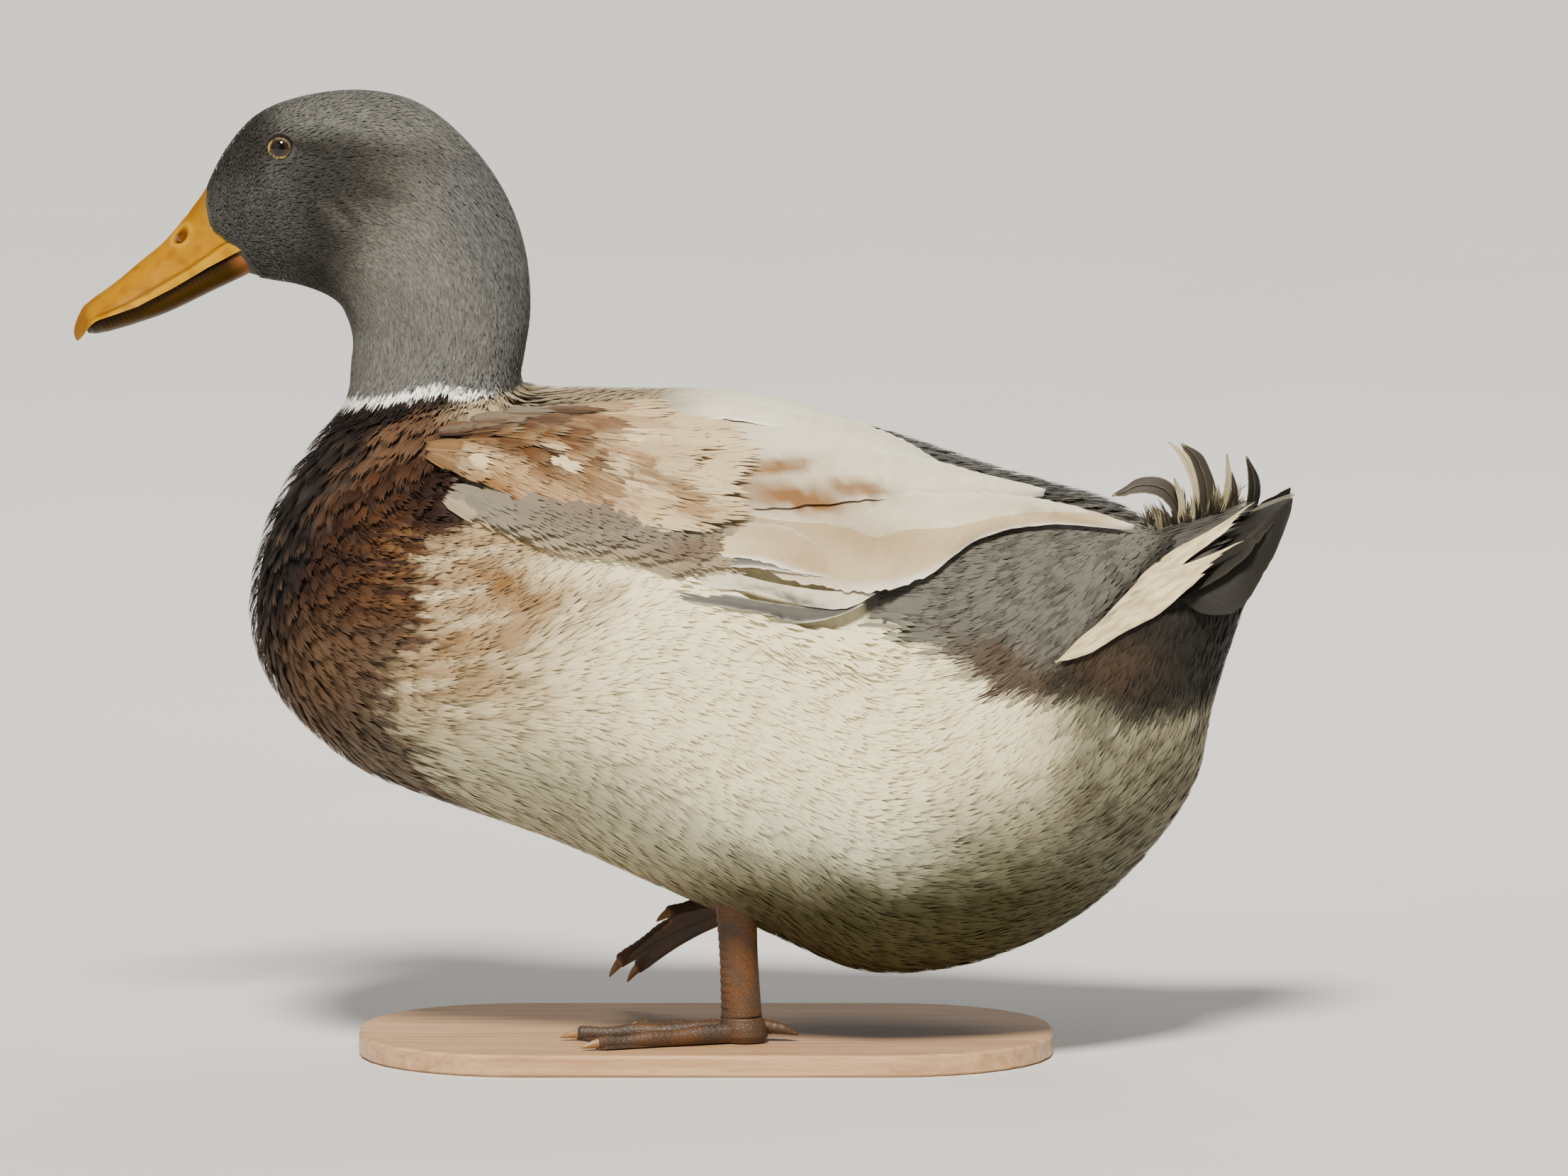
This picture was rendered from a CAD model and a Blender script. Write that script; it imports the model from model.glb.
# Looks of the saxony drake: plumage, bill, eyes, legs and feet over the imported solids.
#
# Sizes are in millimetres over the ground that the bird stands on, which is the top of its base, until a
# mesh is made. The bird heads along -X and its left side is towards -Y, as in the solids.

import math
from collections import namedtuple

import bmesh
import bpy
import numpy as np
from mathutils import Matrix, Vector
from mathutils.bvhtree import BVHTree


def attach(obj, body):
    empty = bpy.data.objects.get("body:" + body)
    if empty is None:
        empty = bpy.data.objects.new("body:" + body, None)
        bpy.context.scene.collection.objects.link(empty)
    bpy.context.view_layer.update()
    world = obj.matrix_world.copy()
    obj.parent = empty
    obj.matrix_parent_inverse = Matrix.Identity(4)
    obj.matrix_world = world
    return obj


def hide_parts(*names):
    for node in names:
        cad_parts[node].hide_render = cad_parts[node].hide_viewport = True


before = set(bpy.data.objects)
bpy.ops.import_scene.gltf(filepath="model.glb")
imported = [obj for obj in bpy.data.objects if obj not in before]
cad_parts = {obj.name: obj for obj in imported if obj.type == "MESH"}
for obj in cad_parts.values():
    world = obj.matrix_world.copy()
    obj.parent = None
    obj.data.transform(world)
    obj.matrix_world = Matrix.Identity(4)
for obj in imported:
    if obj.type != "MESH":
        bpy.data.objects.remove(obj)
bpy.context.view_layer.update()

MM = 0.001
GROUND = 8.3

# The camera: the photograph covers FRAME_WIDTH across at the bird's middle, seen from a little above
CAMERA_RISE = math.radians(7.0)
RISE_COS, RISE_SIN = math.cos(CAMERA_RISE), math.sin(CAMERA_RISE)
CAMERA_AWAY = 8000.0
CAMERA_AIM = (36.1, 0.0, 168.2)
FRAME_WIDTH = 564.0
FLOOR_RADIUS = 14.0
SENSOR = 36.0

# Sections of the feathered body, as in the solids: highest and lowest point on the middle plane as
# (x, z), half width, and how far down the widest level lies
SECTIONS = np.array((
    (-172.6, 301.5, -169.0, 284.5, 8.5, 0.50),
    (-169.6, 309.5, -158.5, 274.0, 14.0, 0.55),
    (-163.2, 320.8, -149.0, 271.4, 18.5, 0.55),
    (-152.3, 332.0, -138.5, 269.6, 22.5, 0.53),
    (-135.0, 338.4, -129.0, 266.3, 25.6, 0.54),
    (-113.0, 340.1, -123.4, 262.4, 27.0, 0.52),
    (-93.0, 334.6, -120.8, 257.2, 27.0, 0.50),
    (-75.3, 319.5, -119.4, 252.4, 26.4, 0.48),
    (-63.0, 301.5, -119.0, 247.6, 25.5, 0.48),
    (-56.2, 281.4, -119.6, 242.6, 25.2, 0.48),
    (-54.6, 261.0, -120.0, 237.4, 26.0, 0.48),
    (-56.4, 246.0, -120.6, 231.6, 28.6, 0.48),
    (-57.6, 238.0, -124.0, 224.4, 35.0, 0.48),
    (-56.5, 233.6, -134.6, 212.6, 45.0, 0.48),
    (-52.5, 231.4, -148.2, 191.6, 57.5, 0.50),
    (-46.0, 230.8, -156.8, 162.4, 69.0, 0.52),
    (-37.0, 230.8, -154.8, 136.8, 77.0, 0.54),
    (-26.0, 230.8, -141.5, 114.6, 81.5, 0.55),
    (-12.0, 230.6, -116.0, 94.0, 84.0, 0.55),
    (3.0, 230.2, -84.0, 81.8, 85.5, 0.56),
    (19.0, 228.6, -46.0, 68.4, 86.5, 0.56),
    (37.0, 225.2, -9.0, 51.8, 87.0, 0.57),
    (56.0, 219.8, 28.0, 36.0, 86.5, 0.58),
    (76.0, 213.4, 62.0, 21.6, 85.0, 0.58),
    (96.0, 206.6, 95.0, 21.8, 80.5, 0.57),
    (115.0, 200.4, 124.0, 30.8, 73.0, 0.55),
    (132.0, 195.6, 150.0, 46.4, 63.5, 0.53),
    (147.5, 191.6, 171.0, 67.6, 53.0, 0.50),
    (160.0, 187.2, 185.6, 90.8, 43.5, 0.48),
    (169.5, 182.4, 191.2, 117.0, 36.0, 0.45),
    (178.5, 180.6, 198.0, 139.4, 29.5, 0.42),
    (190.0, 183.4, 205.6, 161.6, 22.0, 0.40),
    (202.5, 187.4, 212.6, 177.6, 12.0, 0.40),
))
SQUARENESS = 0.92
LAST = len(SECTIONS) - 1.0
AXIS_HEIGHT = 152.0
# How far to the left of the middle plane the view's rays start
RAY_START = 400.0

# How deep the coat lies over the skin
HEAD_DEPTH, BODY_DEPTH = 1.3, 4.2


def linear(code):
    """A colour written as sRGB hex, turned to linear numbers."""
    values = [int(code[i:i + 2], 16) / 255 for i in (1, 3, 5)]
    return np.array([v / 12.92 if v <= 0.04045 else ((v + 0.055) / 1.055) ** 2.4 for v in values])


def smooth(low, high, value):
    """0 below low and 1 above high, with a smooth rise between."""
    share = np.clip((value - low) / (high - low), 0.0, 1.0)
    return share * share * (3 - 2 * share)


def unit(vectors):
    """Vectors of length 1 in the same directions."""
    return vectors / np.maximum(np.linalg.norm(vectors, axis=-1, keepdims=True), 1e-9)


def wobble(points, size, seed=0):
    """Smooth noise between about -1 and 1 that changes over a size in millimetres."""
    total = np.zeros(len(points))
    rng = np.random.default_rng(700 + seed)
    for _ in range(7):
        way = rng.normal(size=3)
        way /= np.linalg.norm(way)
        reach = size * rng.uniform(0.7, 1.5)
        total += np.sin(points @ way * (2 * math.pi / reach) + rng.uniform(0, 6.3))
    return total / 3.2


# The body's surface


def between_rows(before, start, end, after, share):
    """Places on a smooth curve from start to end, at a share of the way."""
    first, second = (end - before) / 2, (after - start) / 2
    s2, s3 = share ** 2, share ** 3
    return (
        (2 * s3 - 3 * s2 + 1) * start + (s3 - 2 * s2 + share) * first
        + (3 * s2 - 2 * s3) * end + (s3 - s2) * second
    )


def rows_at(table, at):
    """A table's numbers at places between its rows, on a smooth curve through them."""
    last = len(table) - 1
    low = np.minimum(at.astype(int), last - 1)
    return between_rows(table[np.maximum(low - 1, 0)], table[low], table[low + 1],
                        table[np.minimum(low + 2, last)], (at - low)[:, None])


def raw_surface(u, turn):
    """Points of the body's outer surface at places u and turns round it, 0 at the back, left side first."""
    rows = rows_at(SECTIONS, np.clip(u, 0.0, LAST))
    down, out = np.cos(turn), np.sin(turn)
    down = np.sign(down) * np.abs(down) ** SQUARENESS
    out = np.sign(out) * np.abs(out) ** SQUARENESS
    widest = rows[:, 5]
    share = np.where(down > 0, widest * (1 - down), widest - (1 - widest) * down)
    x = rows[:, 0] + (rows[:, 2] - rows[:, 0]) * share
    z = rows[:, 1] + (rows[:, 3] - rows[:, 1]) * share
    points = np.stack((x, -rows[:, 4] * out, z), axis=1)
    return points + plumage_folds(points)


def plumage_folds(points):
    """Soft swells and hollows of the plumage that the sections leave out."""
    x, y, z = points.T
    side = np.abs(y)
    away = unit(np.stack((np.zeros_like(x), y, (z - 130) * 0.6), axis=1))
    groove = np.exp(-(((x + 6) / 42) ** 2) - (((z - 172 + 0.10 * (x + 6)) / 9) ** 2)) * smooth(40, 70, side)
    thigh = np.exp(-(((x - 62) / 36) ** 2) - (((z - 88) / 34) ** 2)) * smooth(40, 75, side)
    fluff = 0.7 * wobble(points, 46, 3) * smooth(-90, -20, x) * smooth(30, 60, side)
    return away * (-1.6 * groove + 1.2 * thigh + 0.5 * fluff)[:, None]


GRID_U, GRID_TURN = 8, 128
grid_u = np.linspace(0, LAST, int(LAST) * GRID_U + 1)
grid_turn = np.linspace(0, 2 * math.pi, GRID_TURN, endpoint=False)
mesh_u, mesh_turn = np.meshgrid(grid_u, grid_turn, indexing="ij")
outer_grid = raw_surface(mesh_u.ravel(), mesh_turn.ravel()).reshape(len(grid_u), GRID_TURN, 3)


def grid_normals(grid):
    """Outward unit normals of a closed grid of points."""
    along = np.gradient(grid, axis=0)
    around = np.roll(grid, -1, axis=1) - np.roll(grid, 1, axis=1)
    return unit(np.cross(around, along))


normal_grid = grid_normals(outer_grid)
if normal_grid[20, GRID_TURN // 4][1] > 0:
    normal_grid = -normal_grid


def on_grid(grid, u, turn):
    """Values of a grid at places u and turns."""
    a = np.clip(u, 0, LAST - 1e-6) * GRID_U
    b = (turn / (2 * math.pi) % 1.0) * GRID_TURN
    i, k = a.astype(int), b.astype(int) % GRID_TURN
    fa, fb = (a - i)[..., None], (b - np.floor(b))[..., None]
    after = (k + 1) % GRID_TURN
    return (
        grid[i, k] * (1 - fa) * (1 - fb) + grid[i + 1, k] * fa * (1 - fb)
        + grid[i, after] * (1 - fa) * fb + grid[i + 1, after] * fa * fb
    )


def coat_depth(u):
    """Depth of the coat over the skin at places u."""
    return HEAD_DEPTH + (BODY_DEPTH - HEAD_DEPTH) * smooth(9.5, 14.0, u)


def grid_cells(rows, columns, closed=False):
    """The four corners' numbers of each cell of a grid of points, row by row."""
    i, k = np.meshgrid(np.arange(rows - 1), np.arange(columns if closed else columns - 1), indexing="ij")
    a = (i * columns + k).ravel()
    b = (i * columns + (k + 1) % columns).ravel()
    return a, a + columns, b + columns, b


def grid_triangles(*grid):
    """Two triangles for each cell of a grid of points."""
    a, c, d, b = grid_cells(*grid)
    return np.concatenate((np.stack((a, c, d), 1), np.stack((a, d, b), 1)))


# The outer surface as a search tree
cells = np.stack(grid_cells(len(grid_u), GRID_TURN, True), 1)
tree = BVHTree.FromPolygons(outer_grid.reshape(-1, 3).tolist(), cells.tolist())


def on_side(x, degrees):
    """The left side's surface at x, at an angle from the top round the body's axis, and its normal."""
    angle = math.radians(degrees)
    outward = Vector((0.0, -math.sin(angle), math.cos(angle)))
    place, normal, _, _ = tree.ray_cast(Vector((x, 0.0, AXIS_HEIGHT)) + outward * 150, -outward)
    return place, outward if normal.dot(outward) < 0 else normal


# Markings. Each colour border is a line in the photograph's view: x and the height in that view.


def in_view(points):
    """x and height of points as the photograph's view shows them, the right side as the left."""
    return points[:, 0], points[:, 2] * RISE_COS - np.abs(points[:, 1]) * RISE_SIN


INK = {name: linear(code) for name, code in (
    ("crown", "#5d5b55"), ("forehead", "#28251e"), ("face", "#474743"), ("cheek", "#2d2b26"),
    ("ear", "#46413a"), ("neck", "#66625b"), ("nape", "#4d4d4b"), ("ring", "#f8f5e8"),
    ("chest", "#1b1512"), ("chest_edge", "#80654a"), ("taupe", "#5c432f"), ("chestnut", "#2d1a11"),
    ("rust", "#533318"), ("maroon", "#20100b"), ("cream", "#e2c99b"), ("flank", "#f4e7bc"),
    ("ochre", "#7d5527"), ("sand", "#8c6740"), ("grey", "#5e5a51"), ("rump", "#4f4d48"),
    ("vent", "#5f5d4b"), ("vent_brown", "#483729"), ("belly", "#d6d2b2"), ("olive", "#3c3718"),
    ("web", "#dcd2b3"), ("web_warm", "#c5af87"), ("web_edge", "#fbf5e6"), ("second", "#5c5850"),
    ("second_dark", "#443f38"), ("pad", "#776d5c"), ("tail_dark", "#221f19"), ("tail_web", "#25211a"),
    ("tail_edge", "#433c30"), ("tail_cream", "#e9d7a7"), ("tail_tan", "#af946b"), ("lump", "#655f50"),
    ("curl", "#3f392f"), ("curl_edge", "#caba93"), ("bill", "#9c6a00"), ("bill_root", "#623e06"),
    ("bill_skin", "#8a6a24"), ("bill_rim", "#b08204"), ("bill_groove", "#4c2a05"),
    ("bill_blotch", "#844c04"), ("nostril_lip", "#d8a838"), ("nostril", "#2a0e05"), ("nail", "#6e4414"),
    ("lower_bill", "#4a3206"), ("lower_edge", "#2a1a07"), ("comb", "#160d04"), ("hinge", "#a8683c"),
    ("eye_rim", "#1c1009"), ("iris", "#38200f"), ("pupil", "#030202"), ("lid", "#342c20"),
    ("lid_ring", "#94803c"), ("leg_orange", "#643e1a"), ("mud", "#383129"), ("claw", "#8a6a45"),
)}


def plain(ink, points):
    """One ink for all of the points."""
    return np.tile(INK[ink], (len(points), 1))


def layered(colour, *layers):
    """Colours with inks laid over them one after another, each by an amount for each point."""
    for ink, amount in layers:
        colour = colour + (INK[ink] - colour) * np.clip(amount, 0, 1)[:, None]
    return colour


def past(value, edge, soft):
    """How far value lies past an edge, as a smooth step as wide as soft."""
    return smooth(-soft, soft, value - edge)


def border(line, at):
    """The second number of a line of pairs, where its first number is at."""
    return np.interp(at, *np.transpose(line))


def spot(x, v, at, size, tilt=0.0):
    """A soft round or long patch in the view, 1 in its middle."""
    dx, dv = x - at[0], v - at[1]
    c, s = math.cos(tilt), math.sin(tilt)
    a, b = dx * c + dv * s, dv * c - dx * s
    return np.exp(-((a / size[0]) ** 2) - ((b / size[1]) ** 2))


def full_spot(*shape):
    """A spot whose middle is evenly covered."""
    return np.clip(1.5 * spot(*shape), 0, 1)


def marked(colour, x, v, marks, strength=1.0):
    """Colours with marks laid over them, each a place, size, tilt, ink and strength."""
    return layered(colour, *((ink, strength * much * full_spot(x, v, at, size, tilt))
                             for at, size, tilt, ink, much in marks))


def streaks(x, v, heading, size, seed):
    """Noise in the view that is drawn out along a heading."""
    along = x * math.cos(heading) + v * math.sin(heading)
    across = v * math.cos(heading) - x * math.sin(heading)
    return wobble(np.stack((along * 0.2, across, np.zeros_like(x)), axis=1), size, seed)


# Brown patches on the flank: place in the view, size, tilt and strength
FLANK_PATCHES = (
    ((-62, 160), (8, 13), 0.1, 1.0), ((-50, 151), (16, 7), 0.6, 0.8), ((-28, 157), (9, 4), 0.3, 0.6),
    ((-30, 147), (12, 5), 0.6, 0.3), ((-80, 137), (7, 4.5), 0.1, 0.8), ((-52, 175), (9, 4), -0.1, 0.6),
    ((-60, 120), (14, 5), 0.3, 0.12), ((-74, 168), (9, 7), 0.1, 0.6), ((-70, 128), (9, 4), 0.0, 0.3),
)
# Rear borders of the breast's colours, as x by height, and the lower border of the rump, as height by x
CHEST_REAR = ((60, -150), (118, -143), (150, -139), (173, -134), (187, -130), (202, -120), (212, -110),
              (224, -86), (236, -70))
TAUPE_REAR = ((60, -150), (150, -136), (173, -130), (187, -124), (196, -116), (209, -90), (220, -62),
              (226, -20), (236, 10))
CHESTNUT_REAR = ((60, -62), (77, -75), (95, -92), (119, -106), (128, -103), (139, -91), (155, -93),
                 (168, -89), (183, -80), (192, -77), (203, -84), (214, -78), (236, -66))
RUMP_LOW = ((50, 190), (60, 165), (64.5, 152), (66.5, 144.5), (76, 143.3), (84, 139.2), (90.5, 135.4),
            (97, 131), (107, 127), (115, 124.8), (122, 120.5), (130, 118), (137, 118), (148.5, 115.8),
            (156, 111.3), (172, 110), (190, 116), (200, 128))


def plumage_colour(points, u):
    """The plumage's colours at points of the outer surface."""
    seen_x, seen_v = in_view(points)
    x = seen_x + 2.6 * wobble(points, 16, 1) + 1.2 * wobble(points, 6, 2)
    v = seen_v + 2.6 * wobble(points, 15, 5) + 1.2 * wobble(points, 6, 6)

    def streak(*shape):
        return streaks(seen_x, seen_v, *shape)

    back = past(v, 188, 6) * past(-np.abs(points[:, 1]), -27, 5) * past(x, 50, 6)
    mottled = streak(-0.4, 3.0, 12)
    warm = past(streak(0.1, 7, 26), -0.4, 0.8)
    # The cream flank, darker and yellower below, the grey back between the wings, and brown patches
    colour = layered(
        plain("flank", points),
        ("belly", past(-v, -78 + 0.10 * (x - 60), 22)),
        ("olive", 0.66 * past(-v, -87, 20) * past(x, 92, 24)),
        ("olive", 0.6 * past(-v, -50, 14) * past(x, 36, 20)),
        ("olive", 0.95 * past(-v, -54 - 0.14 * np.abs(x - 75), 17) * past(x, -10, 40)),
        ("grey", back),
        ("vent", back * 0.8 * past(mottled, 0.2, 0.4)),
        ("tail_dark", back * 0.55 * past(-mottled, 0.45, 0.4)),
        ("sand", past(-x, 44, 32) * (0.42 + 0.38 * warm) * past(v, 108, 16)),
        ("vent", 0.5 * past(-v, -100, 20) * past(-x, 16, 30)),
        *(("ochre", much * spot(x, v, at, size, tilt)) for at, size, tilt, much in FLANK_PATCHES),
    )
    # Rump, and the dark plumage under the tail
    rump_edge = border(RUMP_LOW, seen_x)
    frayed = v + 2.5 * streak(0.9, 3.0, 15)
    grey = past(frayed, rump_edge, 3) * past(x, 62, 4)
    low_brown = past(frayed, rump_edge, 3) * past(-v, -rump_edge - 11, 4) * past(x, 96, 8)
    under_edge = np.interp(seen_x, (125, 150, 174, 200), (124, 110, 108, 122))
    under = past(seen_x, 126 + (seen_v - 120) * 0.80, 5) * past(frayed, under_edge, 6)
    vent = past(x, 132, 14) * past(-v, -rump_edge, 8) * past(v, 58, 20)
    colour = layered(
        colour,
        ("rump", grey * 0.95),
        ("grey", grey * 0.9 * past(streak(0.4, 3.2, 16), 0.25, 0.5)),
        ("tail_dark", grey * 0.55 * past(streak(0.4, 2.6, 17), 0.5, 0.4)),
        ("vent_brown", low_brown * 0.8),
        ("tail_dark", under),
        ("vent_brown", under * 0.75 * spot(x, v, (152, 130), (17, 11))),
        ("vent", vent * 0.85),
        ("vent_brown", vent * 0.5 * past(streak(1.1, 3.4, 18), 0.3, 0.4)),
    )
    # Breast: chestnut, then taupe, then the dark front
    chestnut = past(-x + 5 * streak(0.05, 3.4, 19), -border(CHESTNUT_REAR, v), 5)
    rusty = past(streak(-0.05, 5, 11), 0.1, 0.5) * past(x, -122, 16)
    hairs = past(streak(0.0, 1.8, 25), 0.35, 0.35) * past(x, -108, 14) * past(-v, -182, 8)
    low_breast = spot(x, v, (-130, 120), (20, 30), -0.4)
    taupe = past(-x, -border(TAUPE_REAR, v), 4) * past(v, 180, 14)
    ridge = past(v, 216, 5) * past(x, -84, 10) * past(-x, -34, 8)
    front = past(-x, -border(CHEST_REAR, v), 5)
    colour = layered(
        colour,
        ("chestnut", chestnut),
        ("rust", chestnut * 0.65 * rusty),
        ("sand", chestnut * 0.4 * hairs),
        ("pad", chestnut * 0.5 * past(-v, -138, 16) * past(x, -134, 18)),
        ("maroon", 0.8 * full_spot(x, v, (-90, 190), (12, 9), -0.5)),
        ("rust", 0.75 * low_breast),
        ("chest_edge", 0.3 * low_breast),
        ("taupe", taupe * 0.85),
        ("pad", ridge * (0.84 + 0.14 * past(streak(0.1, 3.0, 27), 0.1, 0.4))),
        ("cream", ridge * 0.3),
        ("chest", front * (0.16 + 0.80 * past(v, 145, 28))),
    )
    return np.where((u < neck_end(points))[:, None], neck_colour(points, u), colour)


def neck_end(points):
    """Where along the body the neck's grey and its ring end."""
    return 11.75 + 0.9 * smooth(-92, -66, points[:, 0]) + 0.10 * wobble(points, 3, 20)


def neck_colour(points, u):
    """The grey head and neck, and the white ring at the neck's base."""
    x, v = in_view(points)
    grain = streaks(x, v, -0.9, 5.0, 21)
    back = past(x, np.interp(v, (225, 262, 300, 320, 340), (-72, -76, -92, -104, -128)), 11)
    rear = np.interp(v, (250, 262, 275, 285, 300, 315, 332), (-132, -122, -119, -112, -97, -84, -84))
    dark = past(-x + 3.5 * grain, -rear, 16)
    colour = layered(
        plain("neck", points),
        ("nape", np.maximum(back * 0.8, 0.55 * past(-v, -262, 10))),
        ("ear", dark * 0.9),
        ("cheek", dark * past(-x, 112 - (v - 290) * 0.2, 14)),
        ("face", 0.8 * past(-x, 138, 10)),
        ("neck", 0.38 * spot(x, v, (-117, 291), (13, 6), -0.2) * past(grain, -0.2, 0.6)),
        ("cheek", 0.7 * spot(x, v, (-110, 301), (13, 3), -0.3)),
        ("forehead", 0.85 * past(-x, 148 - (v - 315) * 0.3, 6) * past(v, 306, 8)),
        ("forehead", 0.8 * spot(x, v, (-136, 316.5), (12, 2.0), -0.1)),
        ("crown", 0.95 * past(v, 322.5 - (x + 140) * 0.1, 5) * past(x, -146, 9)),
    )
    colour *= (1 + 0.07 * wobble(points, 7, 13) + 0.05 * grain)[:, None]
    ring = past(u, neck_end(points) - 0.46 + 0.10 * wobble(points, 4, 14), 0.12) * past(-x, 70, 7)
    return layered(colour, ("ring", ring))


# Mesh helpers


def placed(name, data):
    """A new object at the origin of the scene."""
    made = bpy.data.objects.new(name, data)
    bpy.context.scene.collection.objects.link(made)
    return made


def give_tint(mesh, tint):
    """A colour for each point of a mesh."""
    full = np.ones((len(tint), 4), dtype=np.float32)
    full[:, :3] = tint
    mesh.attributes.new("tint", "FLOAT_COLOR", "POINT").data.foreach_set("color", full.ravel())


def join_triangles(name, points, triangles, tint, place, material, rim=None):
    """An object from arrays: points in millimetres, triangles, point colours and a map for baking.

    rim numbers the points along rims: an edge whose ends share a bit is sharp.
    """
    corners = points[triangles]
    if np.einsum("ij,ij->", corners[:, 0], np.cross(corners[:, 1], corners[:, 2])) < 0:
        triangles = triangles[:, ::-1]
    mesh = bpy.data.meshes.new(name)
    mesh.vertices.add(len(points))
    lifted = (points + np.array((0.0, 0.0, GROUND))) * MM
    mesh.vertices.foreach_set("co", lifted.astype(np.float32).ravel())
    mesh.loops.add(len(triangles) * 3)
    mesh.loops.foreach_set("vertex_index", triangles.astype(np.int32).ravel())
    mesh.polygons.add(len(triangles))
    mesh.polygons.foreach_set("loop_start", np.arange(len(triangles), dtype=np.int32) * 3)
    mesh.polygons.foreach_set("use_smooth", np.full(len(triangles), True))
    give_tint(mesh, tint)
    if place is not None:
        spots = mesh.uv_layers.new(name="OFBake")
        spots.data.foreach_set("uv", place[triangles.ravel()].astype(np.float32).ravel())
    mesh.update(calc_edges=True)
    mesh.validate()
    if rim is not None:
        ends = np.empty(len(mesh.edges) * 2, dtype=np.int32)
        mesh.edges.foreach_get("vertices", ends)
        sides = rim[ends.reshape(-1, 2)]
        sharp = mesh.attributes.new("sharp_edge", "BOOLEAN", "EDGE")
        sharp.data.foreach_set("value", (sides[:, 0] & sides[:, 1]) > 0)
    mesh.materials.append(material)
    return placed(name, mesh)


def on_map(u, turn):
    """Places on the unwrap of the body's own shape: along it, and round it."""
    return np.stack((u / LAST * 0.98 + 0.01, turn / (2 * math.pi) * 0.98 + 0.01), axis=1)


def skin_mesh():
    """The closed skin under the coat, from the face to the undertail."""
    depth = coat_depth(mesh_u.ravel()).reshape(len(grid_u), GRID_TURN, 1)
    inner = outer_grid - normal_grid * depth * 0.92
    points = inner.reshape(-1, 3)
    rows = len(grid_u)
    triangles = grid_triangles(rows, GRID_TURN, True)
    for row, way in ((0, 1), (rows - 1, -1)):
        ring = np.arange(GRID_TURN) + row * GRID_TURN
        fan = np.stack((ring, np.roll(ring, -1), np.full(GRID_TURN, len(points))), 1)
        triangles = np.concatenate((triangles, fan[:, ::way]))
        points = np.vstack((points, inner[row].mean(axis=0)))
    u = np.concatenate((mesh_u.ravel(), (0.0, LAST)))
    turn = np.concatenate((mesh_turn.ravel(), (0.0, 0.0)))
    outer = np.vstack((outer_grid.reshape(-1, 3), inner[0].mean(axis=0), inner[-1].mean(axis=0)))
    tint = plumage_colour(outer, u) * 0.95
    return join_triangles("skin", points, triangles, tint, on_map(u, turn), MATERIALS["down"])


# Feathers made of strands


def quadratic(values, t):
    """Values given at 0, a half and 1, read at t on the curve through them."""
    first, middle, last = values
    return first * (2 * t - 1) * (t - 1) + middle * 4 * t * (1 - t) + last * t * (2 * t - 1)


# Half the size of a feather's patch on the map for baking
BAKE_PATCH = 0.0015
# Where a blade's rings lie along it, and how wide they are
BLADE_RINGS = {1: ((0.42,), (1.0,)), 2: ((0.36, 0.78), (1.0, 0.8)), 3: ((0.25, 0.6, 0.86), (0.85, 1.0, 0.7))}


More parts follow.
